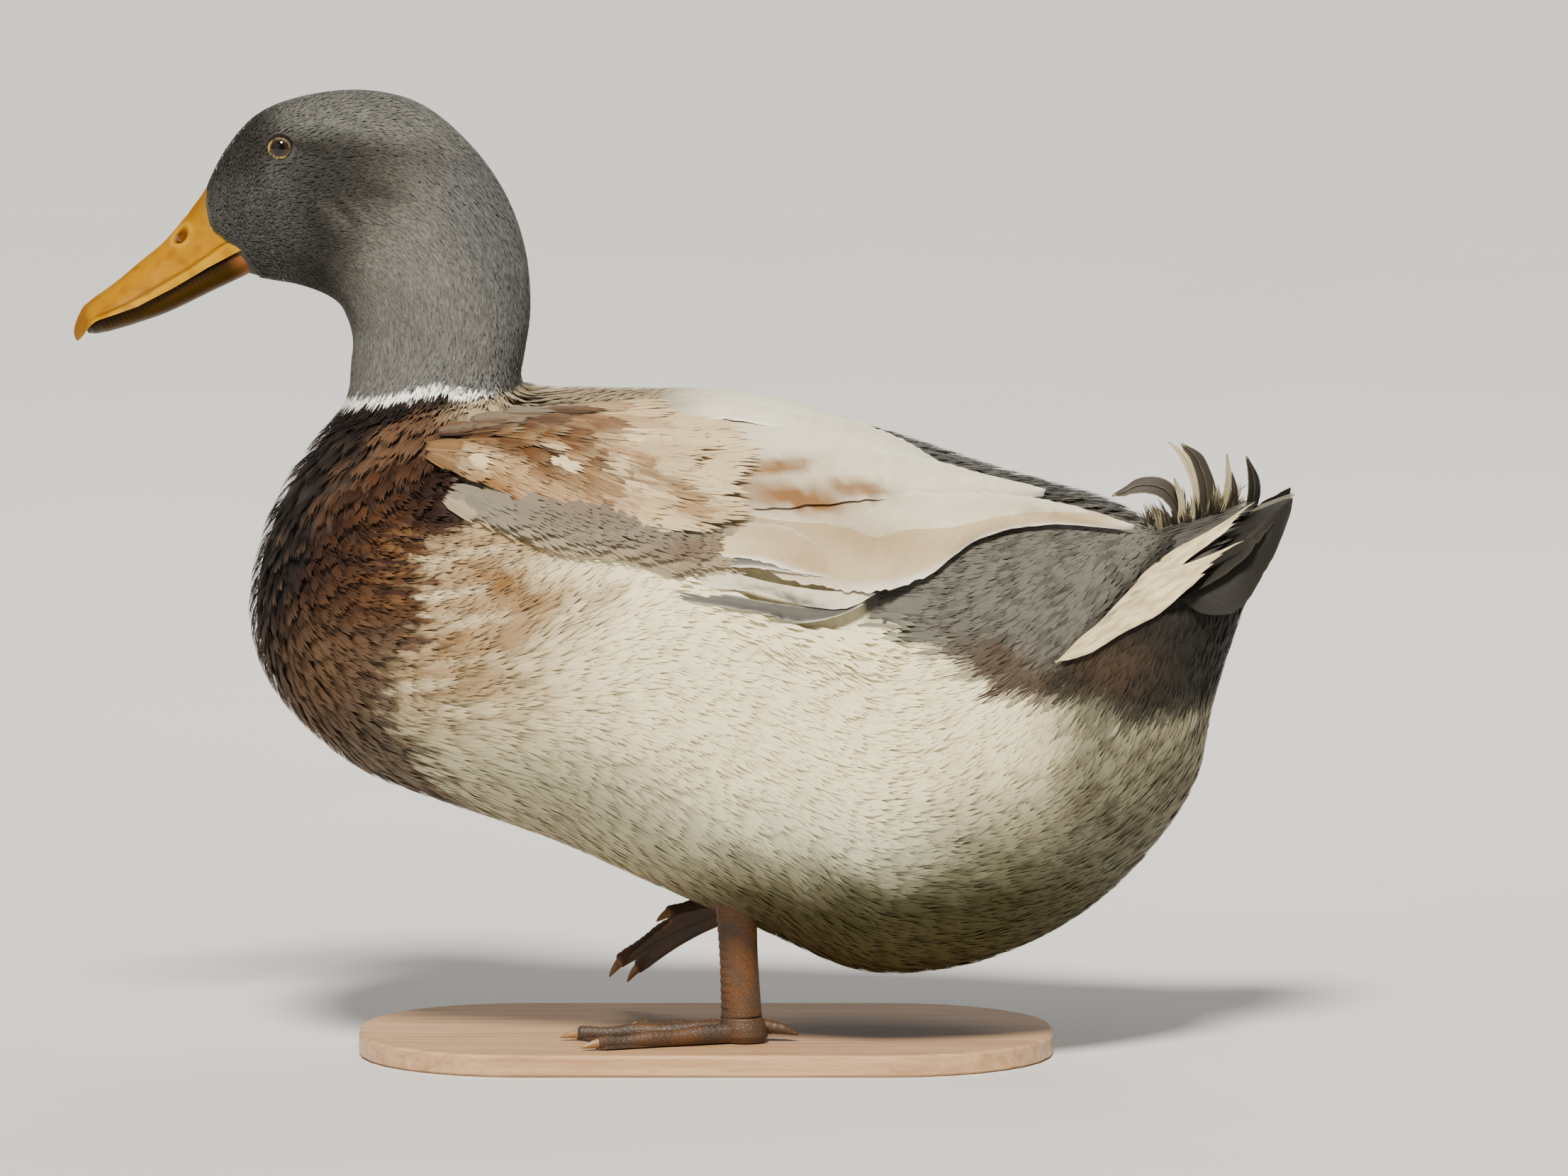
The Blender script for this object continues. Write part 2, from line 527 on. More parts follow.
def strand_feathers(name, centres, outs, rises, half, tint, edge, place, material, blades=5, rings=2,
                    spread=0.30, ragged=0.12, crown=0.12, wide=1.25, deep=0.8, round_tip=0.28, uneven=0.03,
                    paint=None):
    """Closed feathers, each a fan of tapered blades that lie side by side and part at their tips.

    centres and outs hold three (N, 3) arrays each, at the root, middle and tip, and rises three heights
    over them. edge holds the tip's colour, with its strength in a fourth column. paint gives each blade's
    colour from its place and its feather's number, instead of tint. half is the feathers' half width.
    """
    count = len(edge)
    half = np.broadcast_to(half, count)[:, None, None]
    ring_shares, profile = BLADE_RINGS[rings]
    lateral = np.linspace(-1, 1, blades) if blades > 1 else np.zeros(1)
    rng = np.random.default_rng(len(name) * 97 + count)
    jitter = rng.normal(size=(count, blades))
    reach = 1 - round_tip * lateral[None, :] ** 2 + ragged * np.clip(jitter, -1.5, 1.5)
    reach = np.clip(reach, 0.5, 1.15)[:, :, None]
    t = np.array((0.0, *ring_shares, 1.0))[None, None, :] * reach
    centre = quadratic([c[:, None, None, :] for c in centres], t[..., None])
    out = unit(quadratic([o[:, None, None, :] for o in outs], t[..., None]))
    rise = quadratic([np.broadcast_to(r, count)[:, None, None] for r in rises], t)
    ahead = unit(centres[2] - centres[0])[:, None, None, :]
    side = unit(np.cross(out, ahead))
    shift = rng.normal(size=(count, blades)) * 0.10
    fan = spread + (1 - spread) * np.minimum(t, 1.0) ** 0.8
    offset = half * (lateral[None, :, None] + shift[:, :, None]) * fan
    arch = -0.13 * half * (lateral[None, :, None] ** 2) * fan
    spine = centre + side * offset[..., None] + out * (rise + arch)[..., None]
    across = half * wide / blades * np.array(profile)[None, None, :]
    across = across * (0.85 + 0.3 * rng.random((count, blades, 1)))
    middle, up, beside = spine[:, :, 1:-1], out[:, :, 1:-1], side[:, :, 1:-1]
    ridge = middle + up * (across * crown)[..., None]
    left = middle - beside * across[..., None] - up * (across * 0.04)[..., None]
    right = middle + beside * across[..., None] - up * (across * 0.04)[..., None]
    ring_points = np.stack((left, ridge, right), axis=3).reshape(count, blades, rings * 3, 3)
    points = np.concatenate((spine[:, :, :1], ring_points, spine[:, :, -1:]), axis=2).reshape(-1, 3)
    per_blade = rings * 3 + 2
    starts = (np.arange(count * blades) * per_blade)[:, None, None]
    triangles = (blade_triangles(rings)[None] + starts).reshape(-1, 3)
    station = np.concatenate(((0,), np.repeat(np.arange(1, rings + 1), 3), (rings + 1,)))
    t = t[:, :, station]
    tone = 1 + uneven * (rng.normal(size=(count, blades, 1, 1)) + 0.7 * rng.normal(size=(count, 1, 1, 1)))
    if paint is None:
        tint = np.repeat(tint[:, None], blades, axis=1)
    else:
        marked = (spine[:, :, -2] * 0.6 + spine[:, :, -1] * 0.4).reshape(-1, 3)
        tint = paint(marked, np.repeat(np.arange(count), blades)).reshape(count, blades, 3)
    colour = tint[:, :, None, :] * tone * (deep + (1 - deep) * smooth(0.0, 0.5, t))[..., None]
    tip = edge[:, None, None, 3:4] * smooth(0.62, 0.95, t)[..., None]
    colour = colour + (edge[:, None, None, :3] - colour) * tip
    corner = np.concatenate(((0,), np.tile((-1, 0, 1), rings), (0,)))
    spots = np.empty((count, blades, per_blade, 2))
    spots[..., 0] = place[:, None, None, 0] + (t * 2 - 1) * BAKE_PATCH
    spots[..., 1] = place[:, None, None, 1] + (lateral[None, :, None] + 0.15 * corner) * BAKE_PATCH
    sides = np.tile(np.concatenate(((3,), np.tile((1, 0, 2), rings), (3,))), count * blades)
    return join_triangles(name, points, triangles, np.clip(colour, 0, 1).reshape(-1, 3),
                          spots.reshape(-1, 2), material, sides)


def blade_triangles(rings):
    """The triangles of one closed blade: a pointed three-sided bar through its rings."""
    found = []
    tip = rings * 3 + 1
    for k in range(3):
        after = (k + 1) % 3
        found.append((0, 1 + k, 1 + after))
        for s in range(rings - 1):
            a, b = 1 + s * 3, 4 + s * 3
            found.append((a + k, b + k, b + after))
            found.append((a + k, b + after, a + after))
        found.append((tip - 3 + k, tip, tip - 3 + after))
    return np.array(found)


def distances(points):
    """How far points on a line lie from its start, measured along it."""
    return np.concatenate(((0.0,), np.cumsum(np.linalg.norm(np.diff(points, axis=0), axis=1))))


# Points at which the way round the body is measured
GIRTH_STEPS = 241


def scatter(u_low, u_high, row_gap, column_gap, turn_low=0.0, turn_high=2 * math.pi, seed=0):
    """Places for feathers, in staggered rows round the body: u and turn, with some jitter."""
    rng = np.random.default_rng(seed)
    longest = np.maximum.reduce([distances(on_grid(outer_grid, grid_u, np.full(len(grid_u), lane)))
                                 for lane in (0.0, 0.5 * math.pi, math.pi)])
    start, end = np.interp((u_low, u_high), grid_u, longest)
    turns = np.linspace(turn_low, turn_high, GIRTH_STEPS)
    all_u, all_turn = [], []
    for n, s in enumerate(np.arange(start, end, row_gap)):
        u = float(np.interp(s, longest, grid_u))
        girth = distances(on_grid(outer_grid, np.full(len(turns), u), turns))
        number = max(3, int(girth[-1] / column_gap))
        at = (np.arange(number) + 0.5 * (n % 2) + rng.uniform(-0.3, 0.3, number)) / number
        all_turn.append(np.interp(np.clip(at, 0, 1) * girth[-1], girth, turns))
        jitter = rng.uniform(-0.35, 0.35, number) * row_gap
        all_u.append(np.interp(s + jitter, longest, grid_u))
    return np.concatenate(all_u), np.concatenate(all_turn)


def coat(name, places, length, half, material, fringe, lift=None, where=None, loose=0.0, **shape):
    """A piece of the coat with its roots at places u and turns, lying along the body towards the tail."""
    u, turn = places
    rng = np.random.default_rng(len(u) + len(name))
    if where is not None:
        chosen = where(on_grid(outer_grid, u, turn))
        u, turn = u[chosen], turn[chosen]
    length = (length(u) if callable(length) else length) * rng.uniform(0.85, 1.15, len(u))
    half = half * rng.uniform(0.85, 1.15, len(u))
    root = on_grid(outer_grid, u, turn)
    pace = np.linalg.norm(on_grid(outer_grid, u + 0.1, turn) - root, axis=1) / 0.1
    girth = np.linalg.norm(on_grid(outer_grid, u, turn + 0.02) - root, axis=1) / 0.02
    down = np.where(np.sin(turn) > 0, 1.0, -1.0)
    sideways = down * sweep_at(root, u, turn) + rng.normal(size=len(u)) * 0.09
    du = length * np.cos(sideways) / np.maximum(pace, 2.0)
    dturn = length * np.sin(sideways) / np.maximum(girth, 6.0)
    du = du - np.maximum(u + du - (LAST - 0.02), 0.0)
    middle = on_grid(outer_grid, u + du / 2, turn + dturn / 2)
    tip = on_grid(outer_grid, u + du, turn + dturn)
    outs = [on_grid(normal_grid, u + du * s, turn + dturn * s) for s in (0.0, 0.5, 1.0)]
    depth = coat_depth(u)
    fluff = rng.uniform(0.9, 1.06, len(u))
    raise_by = lift(root) if lift is not None else 0.0
    rises = [-depth * 0.92, -depth * 0.40 * fluff + raise_by * 0.6,
             -0.20 * depth * fluff + raise_by + loose * fluff]
    seen_u = u + du * 0.7
    seen = on_grid(outer_grid, seen_u, turn + dturn * 0.7)
    edge = fringe(seen, plumage_colour(seen, seen_u), rng)

    def paint(points, owner):
        return plumage_colour(points, seen_u[owner])

    return strand_feathers(name, [root, middle, tip], outs, rises, half, None, edge, on_map(u, turn),
                           material, paint=paint, **shape)


def sweep_at(points, u, turn):
    """How far feathers turn down from the body's own direction, in radians."""
    calm = smooth(13, 18, u) * (1 - smooth(26, 30, u))
    # Under the shoulder the flank's feathers turn up towards the wing, and behind the thigh up to the tail
    upward = 0.55 * spot(points[:, 0], points[:, 2], (-45, 160), (45, 30))
    rear = 0.62 * smooth(21.5, 25.5, u) * (1 - smooth(29, 31, u)) * smooth(60, 110, points[:, 2])
    level = 0.75 * smooth(13.4, 15.0, u) * (1 - smooth(17.5, 20.0, u))
    return (0.1 * calm - upward * calm - rear - level) * np.abs(np.sin(turn))


# Materials


def add(tree, kind, values=(), links=(), **settings):
    """A node of a kind with its settings, its input values and its links from other nodes' outputs."""
    node = tree.nodes.new(kind)
    for setting, value in settings.items():
        setattr(node, setting, value)
    for socket, value in dict(values).items():
        node.inputs[socket].default_value = value
    for socket, source in dict(links).items():
        tree.links.new(source, node.inputs[socket])
    return node


def start_material(name, roughness, **constants):
    """A Principled material with its constant values set on the shader's own sockets."""
    made = bpy.data.materials.new(name)
    made.use_nodes = True
    shader = made.node_tree.nodes["Principled BSDF"]
    shader.inputs["Roughness"].default_value = roughness
    for socket, value in constants.items():
        shader.inputs[socket.replace("_", " ")].default_value = value
    return made, made.node_tree, shader


def scaled(tree, colour, level):
    """A colour made lighter or darker by a level."""
    node = add(tree, "ShaderNodeVectorMath", links={0: colour, "Scale": level}, operation="SCALE")
    return node.outputs["Vector"]


def spread(tree, source, low, high, to_low, to_high):
    """A value moved from one range to another."""
    node = add(tree, "ShaderNodeMapRange", {1: low, 2: high, 3: to_low, 4: to_high}, {"Value": source})
    return node.outputs["Result"]


def noise(tree, place, size_mm, **values):
    """Noise of a size in millimetres at a place."""
    node = add(tree, "ShaderNodeTexNoise", {"Scale": 1000 / size_mm, **values}, {"Vector": place})
    return node.outputs["Fac"]


def coloured(tree, shader, colour, level):
    """A colour made lighter or darker by a level, as a shader's own colour."""
    tree.links.new(scaled(tree, colour, level), shader.inputs["Base Color"])


def piece_tint(tree):
    """The colour that each point of a piece has."""
    return add(tree, "ShaderNodeAttribute", attribute_name="tint").outputs["Color"]


def raised(tree, shader, height, depth_mm):
    """Relief of a depth in millimetres on a shader."""
    node = add(tree, "ShaderNodeBump", {"Strength": 1.0, "Distance": depth_mm * MM}, {"Height": height})
    tree.links.new(node.outputs["Normal"], shader.inputs["Normal"])


def object_place(tree, stretch=(1.0, 1.0, 1.0)):
    """Object coordinates, stretched by a share along each axis."""
    place = add(tree, "ShaderNodeTexCoord").outputs["Object"]
    return add(tree, "ShaderNodeMapping", {"Scale": stretch}, {"Vector": place}).outputs["Vector"]


def painted(name, roughness, grain_mm, depth, relief_mm, **constants):
    """A material in the piece's own tint, broken by a fine grain of a size in millimetres."""
    made, tree, shader = start_material(name, roughness, **constants)
    tint = piece_tint(tree)
    grain = noise(tree, object_place(tree), grain_mm, Detail=3.0, Roughness=0.6)
    coloured(tree, shader, tint, spread(tree, grain, 0.3, 0.7, 1 - depth, 1 + depth))
    if relief_mm:
        raised(tree, shader, grain, relief_mm)
    return made


def vane_material():
    """Flight feather keratin: smooth and close, with barbs that run out from the shaft."""
    made, tree, shader = start_material("flight_feather_vane", 0.56, IOR=1.54, Specular_IOR_Level=0.25)
    tint = piece_tint(tree)
    web = add(tree, "ShaderNodeAttribute", attribute_name="web").outputs["Vector"]
    # The barbs' own coordinates take the noise at a scale of 1
    barbs = noise(tree, web, 1000, Detail=2.0)
    coloured(tree, shader, tint, spread(tree, barbs, 0.3, 0.7, 0.92, 1.08))
    raised(tree, shader, barbs, 0.12)
    return made


def leg_material():
    """Duck leg skin: soft orange hide in small plates, with dried mud between and over them."""
    made, tree, shader = start_material("scaled_leg_skin", 0.52, IOR=1.45)
    tint = piece_tint(tree)
    place = object_place(tree)
    plates = add(tree, "ShaderNodeTexVoronoi", {"Scale": 1000 / 1.5}, {"Vector": place},
                 feature="DISTANCE_TO_EDGE")
    seam = spread(tree, plates.outputs["Distance"], 0.0, 0.16, 0.70, 1.0)
    skin = scaled(tree, tint, seam)
    mud = noise(tree, place, 9.0, Detail=5.0, Roughness=0.65)
    dirt = spread(tree, mud, 0.50, 0.66, 0.0, 0.6)
    # On a colour mix, socket 6 is the first colour, 7 the second and output 2 the result
    mixed = add(tree, "ShaderNodeMix", {7: (*linear("#3a332a"), 1)}, {0: dirt, 6: skin}, data_type="RGBA")
    tree.links.new(mixed.outputs[2], shader.inputs["Base Color"])
    raised(tree, shader, seam, 0.25)
    return made


def wood_material():
    """Planed beech under a satin varnish: long fine grain with small darker flecks."""
    made, tree, shader = start_material("varnished_beech", 0.36, IOR=1.5)
    grain = noise(tree, object_place(tree, (0.05, 1.0, 1.0)), 3.5, Detail=6.0, Roughness=0.65,
                  Distortion=0.4)
    flecks = noise(tree, object_place(tree, (0.18, 1.0, 1.0)), 1.3, Detail=2.0)
    tones = add(tree, "ShaderNodeValToRGB", links={"Fac": grain})
    for element, at, code in zip(tones.color_ramp.elements, (0.32, 0.70), ("#a9805a", "#cda67c")):
        element.position = at
        element.color = (*linear(code), 1)
    coloured(tree, shader, tones.outputs["Color"], spread(tree, flecks, 0.30, 0.42, 0.84, 1.0))
    raised(tree, shader, grain, 0.05)
    return made


MATERIALS = {
    # Down close to the skin: matte and dark between the feathers
    "down": painted("soft_down", 0.9, 1.2, 0.12, 0.2),
    # Velvety short feathers of the head and neck
    "velvet": painted("short_head_feathers", 0.75, 0.7, 0.16, 0.0, IOR=1.54, Specular_IOR_Level=0.16),
    # Loose body feathers, whose barbs break the light softly
    "contour": painted("body_feathers", 0.68, 0.9, 0.07, 0.0, IOR=1.54, Specular_IOR_Level=0.16),
    "vane": vane_material(),
    # Bill: leathery skin over bone, smooth, with faint blotches and a soft gloss
    "bill": painted("bill_skin", 0.42, 5.5, 0.08, 0.10, IOR=1.5, Specular_IOR_Level=0.08),
    "lid": painted("eyelid_skin", 0.5, 0.5, 0.15, 0.05, IOR=1.45),
    # Eye: a wet clear cornea over a dark brown iris
    "eye": painted("wet_eye", 0.06, 0.8, 0.15, 0.0, Coat_Weight=0.4, Coat_Roughness=0.02, IOR=1.376),
    "claw": painted("claw_horn", 0.4, 1.5, 0.2, 0.05, IOR=1.54),
    "leg": leg_material(),
    "wood": wood_material(),
}


# Wing and tail vanes


def through(points, count):
    """Points on a smooth curve through a few given ones, evenly spaced in the given order."""
    given = np.array(points, dtype=float)
    before, after = 2 * given[[0, -1]] - given[[1, -2]]
    rows = np.vstack((before, given, after))
    at = np.linspace(0, len(given) - 1, count)
    low = np.minimum(at.astype(int), len(given) - 2)
    return between_rows(rows[low], rows[low + 1], rows[low + 2], rows[low + 3], (at - low)[:, None])


def side_line(points, count=26):
    """Centres, outward normals and sideways directions along a line on the left side.

    Each of points is (x, degrees from the top, height over the body).
    """
    centres, outs = [], []
    for x, degrees, rise in through(points, count):
        place, normal = on_side(float(x), float(degrees))
        centres.append(np.array(place) + np.array(normal) * rise)
        outs.append(np.array(normal))
    centres, outs = np.array(centres), unit(np.array(outs))
    ahead = unit(np.gradient(centres, axis=0))
    side = unit(np.cross(ahead, outs))
    return centres, unit(np.cross(side, ahead)), side


def seen_at(x, height):
    """The left side's surface where the photograph's view shows x and a height, and its normal."""
    start = Vector((x, -RAY_START, (height + RAY_START * RISE_SIN) / RISE_COS))
    place, normal, _, _ = tree.ray_cast(start, Vector((0.0, RISE_COS, -RISE_SIN)))
    if place is None:
        return on_side(x, 4.0)
    return place, normal if normal.y < 0 else -normal


Vane = namedtuple("Vane", "grid outs web edge low_edge high_edge crown")
# Points across a vane, and barbs to the millimetre along its shaft
ACROSS = 9
BARBS = 3.0


def line_vane(line, half, web, edge, low_edge, high_edge, tip=0.6, arch=0.12):
    """A vane along a line, with a half width and the share of its length where the tip begins."""
    centres, outs, side = line
    t = np.linspace(0, 1, len(centres))[:, None]
    s = np.linspace(-1, 1, ACROSS)[None, :]
    taper = np.sqrt(np.maximum(0.0, 1 - np.maximum(0.0, (t - tip) / (1 - tip)) ** 2.3))
    width = half * (0.45 + 0.55 * smooth(0.0, 0.4, t)) * np.maximum(taper, 0.05)
    grid = centres[:, None] + side[:, None] * (width * s)[..., None]
    return Vane(grid, np.repeat(outs[:, None], ACROSS, axis=1), web, edge, low_edge, high_edge, arch * width)


def edged_vane(upper, lower, rises, web, count=40, low_edge=0.9):
    """A vane between two edges, given as points of x and height in the photograph's view.

    rises are its heights over the body at the root, middle and tip.
    """
    upper, lower = through(upper, count), through(lower, count)
    rise = through([(value,) for value in rises], count)[:, 0]
    middle = (upper + lower) / 2
    # The edges close over the last tenth of the length
    closing = np.sqrt(np.maximum(0.0, 1 - np.clip((np.linspace(0, 1, count) - 0.90) / 0.10, 0, 1) ** 2))
    closing = np.maximum(closing[:, None], 0.06)
    upper, lower = middle + (upper - middle) * closing, middle + (lower - middle) * closing
    across = np.linspace(0, 1, ACROSS)
    grid, outs = np.empty((count, ACROSS, 3)), np.empty((count, ACROSS, 3))
    for i in range(count):
        for k, share in enumerate(across):
            x, height = upper[i] + (lower[i] - upper[i]) * share
            place, outs[i, k] = seen_at(float(x), float(height))
            # Behind the flank the lower edge lies closer to the body
            close = 1 - 0.6 * share ** 2 * float(smooth(66, 84, x))
            grid[i, k] = np.array(place) + outs[i, k] * rise[i] * close
    for _ in range(2):
        outs[1:-1] = (outs[:-2] + outs[1:-1] + outs[2:]) / 3
    width = np.linalg.norm(grid[:, 0] - grid[:, -1], axis=1)[:, None] / 2
    return Vane(grid, unit(outs), web, "web_edge", low_edge, 0.4, 0.06 * width)


def vane_sheets(name, vanes, mirror=False, marks=None):
    """Thin closed vanes as one piece. marks may change their colours by place."""
    parts = [vane_arrays(vane, number, marks) for number, vane in enumerate(vanes)]
    points, triangles, tint, web, spots, rims = zip(*parts)
    starts = np.cumsum([0] + [len(part) for part in points[:-1]])
    columns = math.ceil(math.sqrt(len(vanes)))
    spots = [(np.array((number % columns, number // columns)) + part) / columns
             for number, part in enumerate(spots)]
    triangles = [part + start for part, start in zip(triangles, starts)]
    points, triangles, tint, spots, rims = map(np.concatenate, (points, triangles, tint, spots, rims))
    made = join_triangles(name, points * (1, -1 if mirror else 1, 1), triangles, tint, spots,
                          MATERIALS["vane"], rims)
    barbs = made.data.attributes.new("web", "FLOAT_VECTOR", "POINT")
    barbs.data.foreach_set("vector", np.concatenate(web).astype(np.float32).ravel())
    return made


def vane_arrays(vane, number, marks):
    """Points, triangles, tint, barb coordinates, places on a map and rim of one vane."""
    count = len(vane.grid)
    rng = np.random.default_rng(900 + number)
    t = np.linspace(0, 1, count)[:, None]
    s = np.linspace(-1, 1, ACROSS)[None, :]
    shaft = 0.16 * np.exp(-((s / 0.08) ** 2)) * (1 - 0.7 * t)
    top = vane.grid + vane.outs * (vane.crown * (1 - s ** 2) + shaft)[..., None]
    middle = top[:, ACROSS // 2][:, None]
    notch = 1 + 0.03 * rng.normal(size=(count, 1)) * (np.abs(s) > 0.95)
    top = middle + (top - middle) * notch[..., None]
    thick = 0.34 * (1 - 0.5 * t) * (1 - 0.6 * np.abs(s))
    low = top - vane.outs * thick[..., None]
    strength = np.where(s > 0, vane.low_edge, vane.high_edge)
    edge = smooth(0.70, 0.98, np.abs(s)) * (0.35 + 0.65 * smooth(0.15, 0.6, t)) * strength
    edge = np.maximum(edge, smooth(0.93, 1.0, t) * max(vane.low_edge, vane.high_edge) * 0.8)
    tone = 1 + 0.02 * rng.normal(size=(count, 1))
    tone = tone + 0.04 * wobble(top.reshape(-1, 3), 11).reshape(count, ACROSS)
    # The side that lies under the next feather is a little darker
    tone = tone * (0.90 + 0.10 * smooth(-1.0, 0.1, s)) * (0.9 + 0.1 * smooth(0.0, 0.35, t))
    ink = INK[vane.web]
    tint = ((ink + (INK[vane.edge] - ink) * edge[..., None]) * tone[..., None]).reshape(-1, 3)
    if marks is not None:
        tint = marks(top.reshape(-1, 3), tint)
    # Barbs leave the shaft at a slant
    run = distances(middle[:, 0])[:, None]
    off = np.linalg.norm(top - middle, axis=2)
    along = run * BARBS - off * BARBS * 1.1
    web = np.stack((along, off * 0.12 * np.sign(s), np.full((count, ACROSS), number * 3.7)), axis=-1)
    spots = np.stack(np.broadcast_arrays(0.04 + 0.92 * t, 0.06 + 0.44 * (s + 1)), axis=-1).reshape(-1, 2)
    return (
        np.concatenate((top.reshape(-1, 3), low.reshape(-1, 3))), sheet_triangles(count, ACROSS),
        np.clip(np.concatenate((tint, tint * 0.8)), 0, 1), np.tile(web.reshape(-1, 3), (2, 1)),
        np.tile(spots, (2, 1)), sheet_rim(count, ACROSS),
    )


def sheet_triangles(count, across):
    """Triangles of a closed sheet: an upper and a lower grid of points, and the rim between them."""
    upper = grid_triangles(count, across)
    number = count * across
    rim = np.concatenate((
        np.arange(0, across), np.arange(2 * across - 1, number, across),
        np.arange(number - 2, number - across - 1, -1), np.arange(number - 2 * across, 0, -across),
    ))
    after = np.roll(rim, -1)
    walls = ((rim, after, after + number), (rim, after + number, rim + number))
    return np.concatenate((upper, upper[:, ::-1] + number, *(np.stack(wall, 1) for wall in walls)))


def sheet_rim(count, across):
    """Which points of a closed sheet lie on its rim: 1 above, 2 below and 0 within."""
    inside = np.zeros((count, across), dtype=int)
    inside[1:-1, 1:-1] = 1
    border = 1 - inside.ravel()
    return np.concatenate((border, border * 2))


# Marks on the wing: place in the view, size, tilt, ink and strength
WING_MARKS = (
    ((35, 202.0), (12, 2.6), 0.10, "ochre", 0.95), ((42, 190.6), (17, 4.6), -0.16, "ochre", 1.0),
    ((62, 194.2), (12, 3.2), -0.16, "ochre", 0.9), ((20, 193), (14, 6), -0.2, "ochre", 0.65),
    ((16, 205), (12, 3.5), -0.2, "ochre", 0.7), ((4, 190), (15, 5), -0.35, "ochre", 0.8),
)


def wing_marks(points, tint):
    """Wing colours with their brown marks and the beige cast near the covered roots."""
    x, v = in_view(points)
    x = x + 1.5 * wobble(points, 9, 71)
    v = v + 0.8 * wobble(points, 6, 72)
    hatch = spot(x, v, (34, 156.2), (17, 3.2), -0.32) + spot(x, v, (24, 151), (18, 2.6), -0.2)
    grain = np.sin((points[:, 0] * 0.9 + points[:, 2] * 0.5) * 2.6 + 1.5 * wobble(points, 4, 73))
    dark = 0.85 * spot(x, v, (34, 147.6), (11, 1.4), -0.22) + 0.7 * spot(x, v, (41, 153.6), (9, 1.6), -0.2)
    return layered(
        marked(tint, x, v, WING_MARKS),
        ("pad", 0.8 * smooth(16, -14, x) * smooth(214, 221, v)),
        ("sand", 0.6 * spot(x, v, (62, 177), (22, 7), -0.1)),
        ("sand", 0.4 * spot(x, v, (44, 168), (14, 5), -0.5)),
        ("sand", 0.5 * spot(x, v, (134, 184.6), (16, 1.6), -0.2)),
        ("second_dark", np.clip(hatch, 0, 1) * (0.35 + 0.4 * (0.5 + 0.5 * grain))),
        ("tail_dark", dark),
    )


# The wing's feathers from the lowest up: upper and lower edge as x and height in the view, heights over
# the body from root to tip, ink, and how many rows of points and how pale a lower edge where they differ
WING_FEATHERS = (
    # Secondaries, with their roots sunk under the flank's feathers
    (((-16, 164), (4, 158.6), (18, 155.6), (32, 153), (44, 151.6), (54, 151.4), (64, 152.8)),
     ((-16, 158), (2, 154), (16, 151.4), (29.5, 149), (40, 146.2), (52, 147.4), (64.6, 152.2)),
     (-3.4, 1.4, 2.0, 1.6), "second"),
    (((-14, 171), (4, 167), (18, 163.4), (32, 160), (46, 157.6), (58, 156.6), (68, 156.4)),
     ((-14, 163), (4, 159.6), (18, 157.6), (30, 156), (42, 152), (57, 150.7), (68.6, 155.6)),
     (-3.2, 2.2, 2.8, 2.3), "web"),
    (((-10, 176), (12, 175), (34, 174), (48, 168), (58, 161)),
     ((-12, 167.5), (9, 166), (26, 165), (42, 162.6), (58, 160.6)), (-3.0, 2.9, 3.5, 3.1), "second"),
    (((-4, 182), (16, 181), (36, 179), (48, 172), (58, 163)),
     ((-8, 172), (10, 169.5), (26, 167.5), (42, 163), (58, 160.6)), (-2.5, 3.5, 4.0, 3.4), "web_warm"),
    # The longest tertial, its lower half bent over in a fold of its own
    (((12, 192), (36, 191), (52, 190.5), (68, 190.5), (86, 191), (104, 190), (122, 188), (142, 184),
      (160.8, 178.9)),
     ((14, 176), (33, 162.6), (49, 158.3), (61, 156), (74, 157.4), (88.5, 163.5), (106, 175.4), (130, 180.3),
      (160.4, 178)), (1.0, 3.6, 4.4, 3.6), "web_warm", 64),
    (((16, 191), (50, 189.5), (82, 190), (106, 189), (126, 186.8), (145, 182.7)),
     ((18, 180), (48, 172), (66, 167), (86, 168.8), (110, 178.6), (144.6, 182)),
     (1.4, 4.2, 5.0, 4.3), "web", 56, 0.35),
    # Upper tertials
    (((-2, 204), (30, 205.6), (60, 205), (84, 201), (107.7, 194.8), (128.6, 190.5)),
     ((0, 187), (32, 185.5), (60, 186.8), (84, 188.4), (106, 188.9), (128.6, 189.6)),
     (1.2, 4.9, 5.3, 4.7), "web", 52),
    (((-4, 224), (30, 221.4), (48, 217.6), (61.5, 214.6), (73, 210.4), (81, 207.2), (89, 203), (98, 198.6)),
     ((-2, 203), (26, 202), (42, 201), (56, 200), (68, 199), (78, 198.4), (88, 198), (98, 197.8)),
     (0.8, 4.2, 3.6, 1.8), "web", 52),
)


def wing_vanes():
    """Flight feathers and tertials of the folded left wing, from the lowest up."""
    vanes = []
    # Primaries: only their edge shows under the longest tertial
    for k in range(3):
        line = side_line(((60, 46 - 3 * k, 0.4), (96, 46 - 3 * k, 1.0), (118 + 8 * k, 40 - 4 * k, 1.4)))
        vanes.append(line_vane(line, 6.0, "second", "second_dark", 0.8, 0.2, 0.7))
    vanes += [edged_vane(*feather) for feather in WING_FEATHERS]
    # The topmost, which meet those of the other wing over the back
    for degrees, reach, rise in ((4, 70, 1.4), (10, 67, 2.0), (16, 62, 2.8), (22, 56, 3.4)):
        line = side_line(((-36, degrees, -3.4), (-10, degrees, -0.6), (14, degrees, rise + 0.2),
                          (reach - 16, degrees + 1, rise + 0.6), (reach, degrees + 2, rise - 0.2)), 36)
        vanes.append(line_vane(line, 7.6, "web", "web_edge", 0.9, 0.6, 0.5))
    return vanes


def pressed(vane):
    """The same vane lying closer to the body."""
    flat = vane.grid.reshape(-1, 3)
    foot = np.array([tree.find_nearest(Vector((x, -abs(y), z)))[0] for x, y, z in flat])
    return vane._replace(grid=(foot + (flat - foot) * 0.45).reshape(vane.grid.shape))


